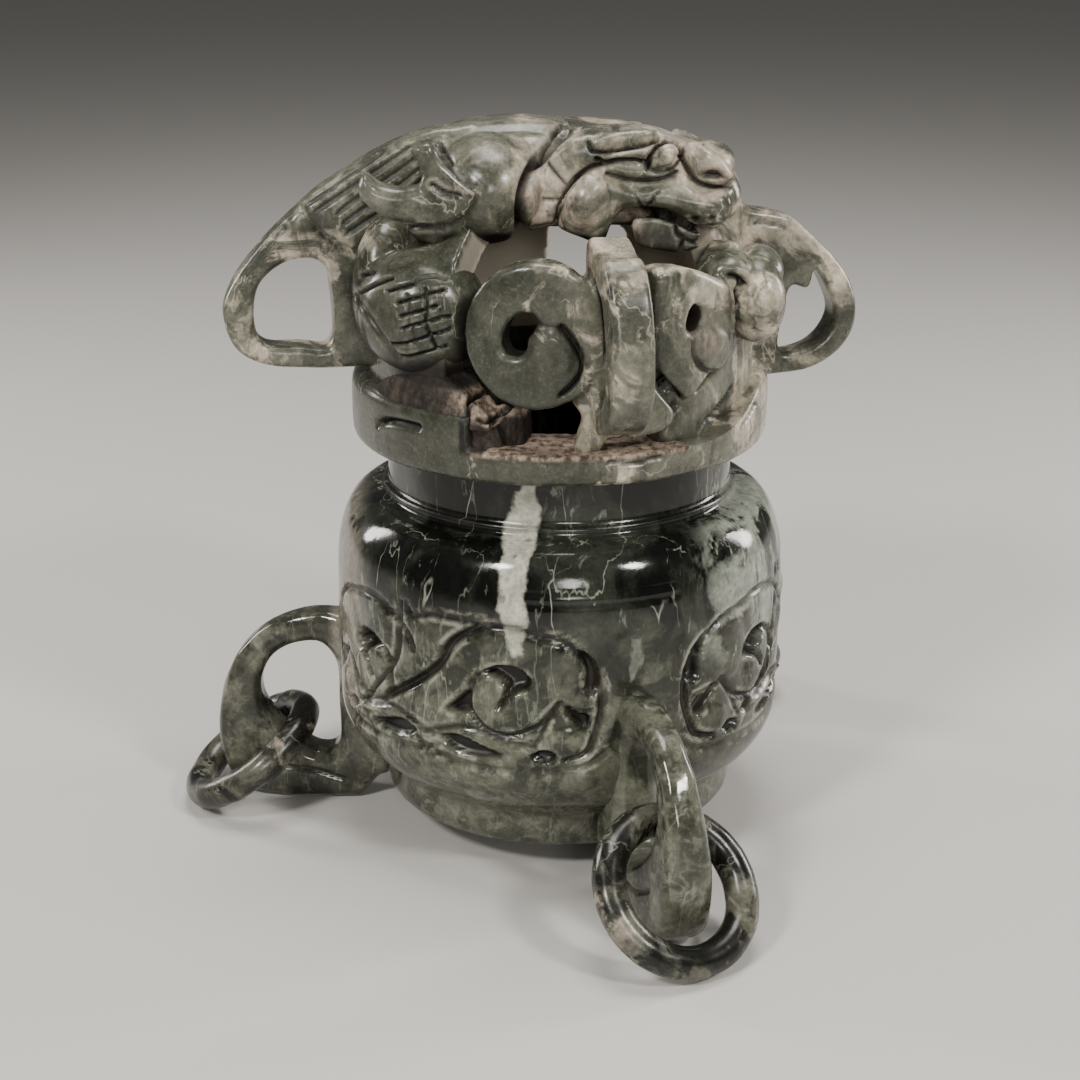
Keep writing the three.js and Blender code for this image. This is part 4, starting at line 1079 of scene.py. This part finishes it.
def stone(name, paint, gloss, subsurface):
    """A polished stone whose colour is painted by the given function."""
    material = bpy.data.materials.new(name)
    material.use_nodes = True
    tree = material.node_tree
    tree.nodes.clear()
    net = Net(tree)
    out = net.node("ShaderNodeOutputMaterial")
    shader = net.node("ShaderNodeBsdfPrincipled")
    tree.links.new(shader.outputs[0], out.inputs[0])
    vector = net.node("ShaderNodeTexCoord").outputs["Object"]
    residue, earth, inner, worn = (net.node("ShaderNodeAttribute", {"attribute_name": label}).outputs["Fac"]
                                   for label in ("residue", "earth", "pale_side", "worn"))
    net.color = paint(net, vector)
    # painted light: the lid's inside faces are laid over with pale cream as if lit
    net.lay(inner, 0.85, (0.62, 0.56, 0.46))
    chipped = net.span(net.noise(vector, 130.0, 6.0, 0.7), 0.44, 0.60)
    net.lay(net.times(worn, chipped), 0.75, (0.34, 0.335, 0.27))
    fibres = net.noise(net.stretch(vector, (1.0, 1.0, 0.35), (0.0, 0.5, 0.3)), 420.0, 6.0, 0.7)
    brown = net.mix(net.span(fibres, 0.36, 0.62), (0.045, 0.030, 0.021), (0.38, 0.295, 0.225))
    net.lay(earth, 0.92, brown)
    # painted shade: near-black, varied with a little brown, is laid where the stone lies in shadow: cuts,
    # hollows and undersides
    shade_tone_noise = net.span(net.noise(vector, 60.0, 3.0), 0.45, 0.68)
    net.lay(residue, 0.98, net.mix(shade_tone_noise, (0.003, 0.003, 0.0025), (0.020, 0.014, 0.011)))
    net.feed(shader.inputs["Base Color"], net.color)
    dulled = net.plus(net.times(residue, 0.28), gloss)
    polish = net.node("ShaderNodeGroup", {"node_tree": POLISH}, Vector=vector, Gloss=dulled,
                      Rough_Ground=earth)
    net.feed(shader.inputs["Roughness"], polish.outputs["Roughness"])
    bump = net.node("ShaderNodeBump", Strength=0.4, Distance=0.0006, Height=polish.outputs["Height"])
    net.feed(shader.inputs["Normal"], bump.outputs[0])
    for label, value in (("IOR", 1.42), ("Subsurface Weight", subsurface),
                         ("Subsurface Radius", (1.0, 0.95, 0.7)), ("Subsurface Scale", 0.003)):
        shader.inputs[label].default_value = value
    return material


def clouds(net, vector, scale, level, softness, twist=0.6, move=0.0):
    if move:
        vector = net.stretch(vector, (1, 1, 1), move=(move, move * 0.6, move * 0.3))
    return net.node("ShaderNodeGroup", {"node_tree": CLOUDS}, Vector=vector, Scale=scale, Level=level,
                    Softness=softness, Twist=twist).outputs[0]


def veins(net, vector, scale, width, level, broken):
    return net.node("ShaderNodeGroup", {"node_tree": VEINS}, Vector=vector, Scale=scale, Width=width,
                    Level=level, Broken=broken).outputs[0]


def mottle(net, vector, strength):
    return net.node("ShaderNodeGroup", {"node_tree": MOTTLE}, Color=net.color, Vector=vector,
                    Strength=strength).outputs[0]


def paint_dark(net, vector):
    """Near-black green with clouds and white veins; milky grey-green in the panels, foot and legs."""
    x, y, z = net.node("ShaderNodeSeparateXYZ", Vector=vector).outputs
    drawn = net.stretch(vector, (1.0, 1.0, 0.45), (0.35, 0.2, 0.0))
    crossed = net.stretch(vector, (1.0, 1.0, 0.28), (-0.2, 0.6, 0.0))
    upward = net.stretch(vector, (1.0, 1.0, 0.22), (0.1, -0.16, 0.0))
    wander = net.noise(vector, 30.0, 5.0)
    reach = net.math("SQRT", net.plus(net.times(x, x), net.times(y, y)))
    on_leg = net.span(reach, 0.0605, 0.064)
    lower = net.span(net.plus(z, net.times(wander, 0.036)), 0.066, 0.088, 1.0, 0.0)
    lower = net.times(lower, net.span(x, 0.018, 0.032, 1.0, 0.45))
    foot = net.math("MAXIMUM", net.span(net.plus(z, net.times(wander, 0.012)), 0.022, 0.032, 1.0, 0.0),
                    on_leg)
    net.color = (0.0028, 0.0033, 0.0025)
    net.lay(clouds(net, drawn, 46.0, 0.56, 0.07), 1.0, (0.020, 0.023, 0.017))
    net.lay(lower, 0.75, (0.036, 0.039, 0.028))
    net.lay(clouds(net, vector, 62.0, 0.49, 0.06, 1.0, 0.4), lower, (0.098, 0.102, 0.074))
    net.lay(clouds(net, drawn, 120.0, 0.64, 0.03, 1.2, 0.8), 0.8, (0.135, 0.148, 0.120))
    flank = net.times(net.span(x, 0.030, 0.044),
                      net.span(net.math("ABSOLUTE", net.minus(z, 0.072)), 0.012, 0.026, 1.0, 0.0))
    net.lay(net.times(flank, clouds(net, drawn, 58.0, 0.50, 0.04, 1.0, 0.6)), 0.85, (0.26, 0.28, 0.235))
    edge = net.span(x, -0.048, -0.056)
    net.lay(net.times(edge, clouds(net, drawn, 70.0, 0.47, 0.05, 0.8, 0.9)), 0.7, (0.25, 0.225, 0.185))
    milky = net.mix(clouds(net, vector, 95.0, 0.5, 0.08), (0.040, 0.042, 0.030), (0.102, 0.104, 0.078))
    specks = clouds(net, vector, 230.0, 0.55, 0.05, 0.8, 0.3)
    milky = net.mix(net.times(specks, 0.5), milky, (0.155, 0.158, 0.122))
    far_left = net.times(net.span(x, -0.052, -0.060), clouds(net, vector, 44.0, 0.47, 0.05, 0.8, 0.6))
    milky = net.mix(net.times(far_left, 0.8), milky, (0.014, 0.017, 0.012))
    net.lay(foot, 0.92, milky)
    fewer = net.minus(1.0, net.times(foot, 0.6))
    net.lay(net.times(fewer, veins(net, upward, 26.0, 0.0042, 0.5, 0.46)), 0.7, (0.30, 0.31, 0.25))
    net.lay(net.times(fewer, veins(net, crossed, 44.0, 0.0055, 0.48, 0.46)), 0.65, (0.25, 0.27, 0.21))
    net.lay(veins(net, upward, 80.0, 0.009, 0.52, 0.50), 0.45, (0.19, 0.21, 0.16))
    middle = net.plus(net.span(z, 0.076, 0.099, -0.0120, -0.0073), net.span(z, 0.058, 0.072, 0.0014, 0.0))
    half = net.math("MINIMUM", net.span(z, 0.056, 0.072, 0.0010, 0.0040),
                    net.span(z, 0.086, 0.101, 0.0040, 0.0019))
    ragged = net.times(net.minus(net.noise(vector, 90.0, 4.0, 0.6), 0.5), 0.008)
    across = net.minus(net.math("ABSOLUTE", net.plus(net.minus(x, middle), ragged)), half)
    band = net.span(across, -0.0007, 0.0005, 1.0, 0.0)
    band = net.times(band, net.span(y, -0.01, -0.03))
    band = net.times(band, net.span(net.plus(z, net.times(ragged, 2.0)), 0.0575, 0.0600))
    pale_band = net.mix(clouds(net, crossed, 150.0, 0.58, 0.05, 0.8, 0.2), (0.40, 0.40, 0.33),
                        (0.17, 0.18, 0.145))
    net.lay(band, 0.94, pale_band)
    return mottle(net, vector, 0.38)


def paint_pale(net, vector):
    """Olive and cream stone in ragged patches, pinkish and softer on the head, streaked dark green."""
    x, _, z = net.node("ShaderNodeSeparateXYZ", Vector=vector).outputs
    drawn = net.stretch(vector, (1.0, 1.0, 0.6), (0.2, 0.35, 0.0))
    steep = net.stretch(vector, (1.0, 1.0, 0.4), (0.1, -0.4, 0.0))
    wander = net.times(net.minus(net.noise(vector, 30.0, 4.0), 0.5), 0.03)
    high = net.span(z, 0.152, 0.160)
    net.color = net.mix(clouds(net, drawn, 62.0, 0.5, 0.10), (0.042, 0.044, 0.032), (0.120, 0.121, 0.092))
    low_left = net.times(net.span(net.plus(x, wander), 0.000, 0.006, 1.0, 0.0),
                         net.span(z, 0.149, 0.156, 1.0, 0.0))
    low_left = net.times(low_left, net.span(net.plus(x, wander), -0.058, -0.048))
    net.lay(low_left, 0.72, (0.027, 0.030, 0.021))
    leafy = net.times(net.span(x, 0.017, 0.021), net.span(x, 0.040, 0.045, 1.0, 0.0))
    leafy = net.times(leafy, net.span(z, 0.149, 0.153, 1.0, 0.0))
    mane = net.times(net.span(net.plus(x, wander), -0.018, -0.006, 1.0, 0.0), high)
    green = net.plus(net.times(low_left, 0.16), net.times(leafy, 0.10))
    green = net.plus(green, net.times(mane, 0.10))
    level = net.plus(green, net.span(x, -0.03, 0.05, 0.53, 0.46))
    warm = net.mix(high, (0.46, 0.40, 0.315), (0.46, 0.375, 0.30))
    cream = net.mix(clouds(net, vector, 90.0, 0.52, 0.07, 0.6, 0.5), (0.27, 0.25, 0.195), warm)
    softness = net.span(z, 0.150, 0.158, 0.035, 0.085)
    net.lay(clouds(net, vector, 46.0, level, softness, 1.0, 0.2), 0.92, cream)
    loop = net.times(net.span(x, 0.050, 0.060), net.span(z, 0.138, 0.150, 1.0, 0.0))
    net.lay(net.times(loop, clouds(net, vector, 40.0, 0.45, 0.05, 0.8, 0.4)), 0.9, (0.024, 0.028, 0.020))
    streaks = clouds(net, steep, 105.0, 0.565, net.span(z, 0.150, 0.158, 0.035, 0.065), 1.2)
    net.lay(streaks, net.span(z, 0.150, 0.158, 0.70, 0.55), (0.046, 0.050, 0.036))
    net.lay(clouds(net, steep, 190.0, 0.62, 0.04, 1.0, 0.9), 0.6, (0.026, 0.029, 0.020))
    net.lay(clouds(net, vector, 1400.0, 0.60, 0.10, 0.4, 0.1), 0.12, (0.36, 0.32, 0.255))
    net.lay(veins(net, drawn, 50.0, 0.007, 0.5, 0.50), 0.5, (0.42, 0.39, 0.31))
    return mottle(net, vector, 0.36)


def paint_grey(net, vector):
    """Dark ring stone with grey-green, pinkish and pale patches."""
    net.color = net.mix(clouds(net, vector, 75.0, 0.5, 0.08), (0.014, 0.015, 0.011), (0.085, 0.085, 0.064))
    net.lay(clouds(net, vector, 70.0, 0.50, 0.04, 0.8, 0.3), 0.95, (0.0035, 0.0038, 0.003))
    net.lay(clouds(net, vector, 62.0, 0.60, 0.05, 0.8, 0.7), 0.85, (0.25, 0.215, 0.17))
    net.lay(veins(net, vector, 60.0, 0.010, 0.5, 0.48), 0.5, (0.26, 0.26, 0.21))
    return mottle(net, vector, 0.4)


DARK = stone("dark_jade", paint_dark, 0.10, 0.04)
PALE = stone("pale_jade", paint_pale, 0.24, 0.06)
GREY = stone("grey_jade", paint_grey, 0.24, 0.06)

make_bowl(DARK)
for leg_side in LEGS:
    make_leg(leg_side, DARK)
    make_ring(leg_side, GREY)
make_lid_ring(PALE)
make_lid_shell(PALE)
make_crest(PALE)
make_head(PALE)
make_scrolls(PALE)
make_scaly_body(PALE)
make_rough_stone(PALE)


# Studio
MIDDLE = (0, 0, 0.09)


def add_floor():
    bm = bmesh.new()
    bmesh.ops.create_grid(bm, x_segments=1, y_segments=1, size=6.0,
                          matrix=Matrix.Translation((0, 0, REST * MM)))
    mesh = mesh_of(bm)
    pale = bpy.data.materials.new("studio_floor")
    pale.use_nodes = True
    shader = pale.node_tree.nodes["Principled BSDF"]
    shader.inputs["Base Color"].default_value = (0.50, 0.49, 0.47, 1)
    shader.inputs["Roughness"].default_value = 0.6
    mesh.materials.append(pale)
    placed(mesh, "studio_floor")


def add_softbox(name, place, size, power, tint):
    """A soft light that faces the middle of the object."""
    data = bpy.data.lights.new(name, "AREA")
    data.shape = "ELLIPSE"
    data.size, data.size_y = size
    data.energy = power
    data.color = tint
    light = placed(data, name)
    light.location = place
    light.rotation_euler = (Vector(MIDDLE) - Vector(place)).to_track_quat("-Z", "Y").to_euler()


add_floor()
world = bpy.data.worlds.new("studio")
world.use_nodes = True
world.node_tree.nodes["Background"].inputs["Color"].default_value = (1.0, 0.98, 0.94, 1)
world.node_tree.nodes["Background"].inputs["Strength"].default_value = 0.12
bpy.context.scene.world = world
for softbox in (
    ("key_left", (-0.55, -0.75, 0.85), (0.20, 0.20), 10.0, (1.0, 0.97, 0.92)),
    ("key_right", (0.60, -0.60, 0.75), (0.16, 0.16), 7.0, (1.0, 0.97, 0.92)),
    ("front", (0.10, -1.00, 0.42), (0.22, 0.22), 3.0, (1.0, 0.97, 0.92)),
    ("rim_left", (-0.75, 0.35, 0.35), (0.15, 0.4), 4.0, (1.0, 0.95, 0.92)),
    ("rim_right", (0.75, 0.30, 0.30), (0.15, 0.4), 4.0, (1.0, 0.95, 0.92)),
    ("top", (0.05, 0.1, 1.1), (0.5, 0.5), 9.0, (1.0, 0.97, 0.93)),
):
    add_softbox(*softbox)
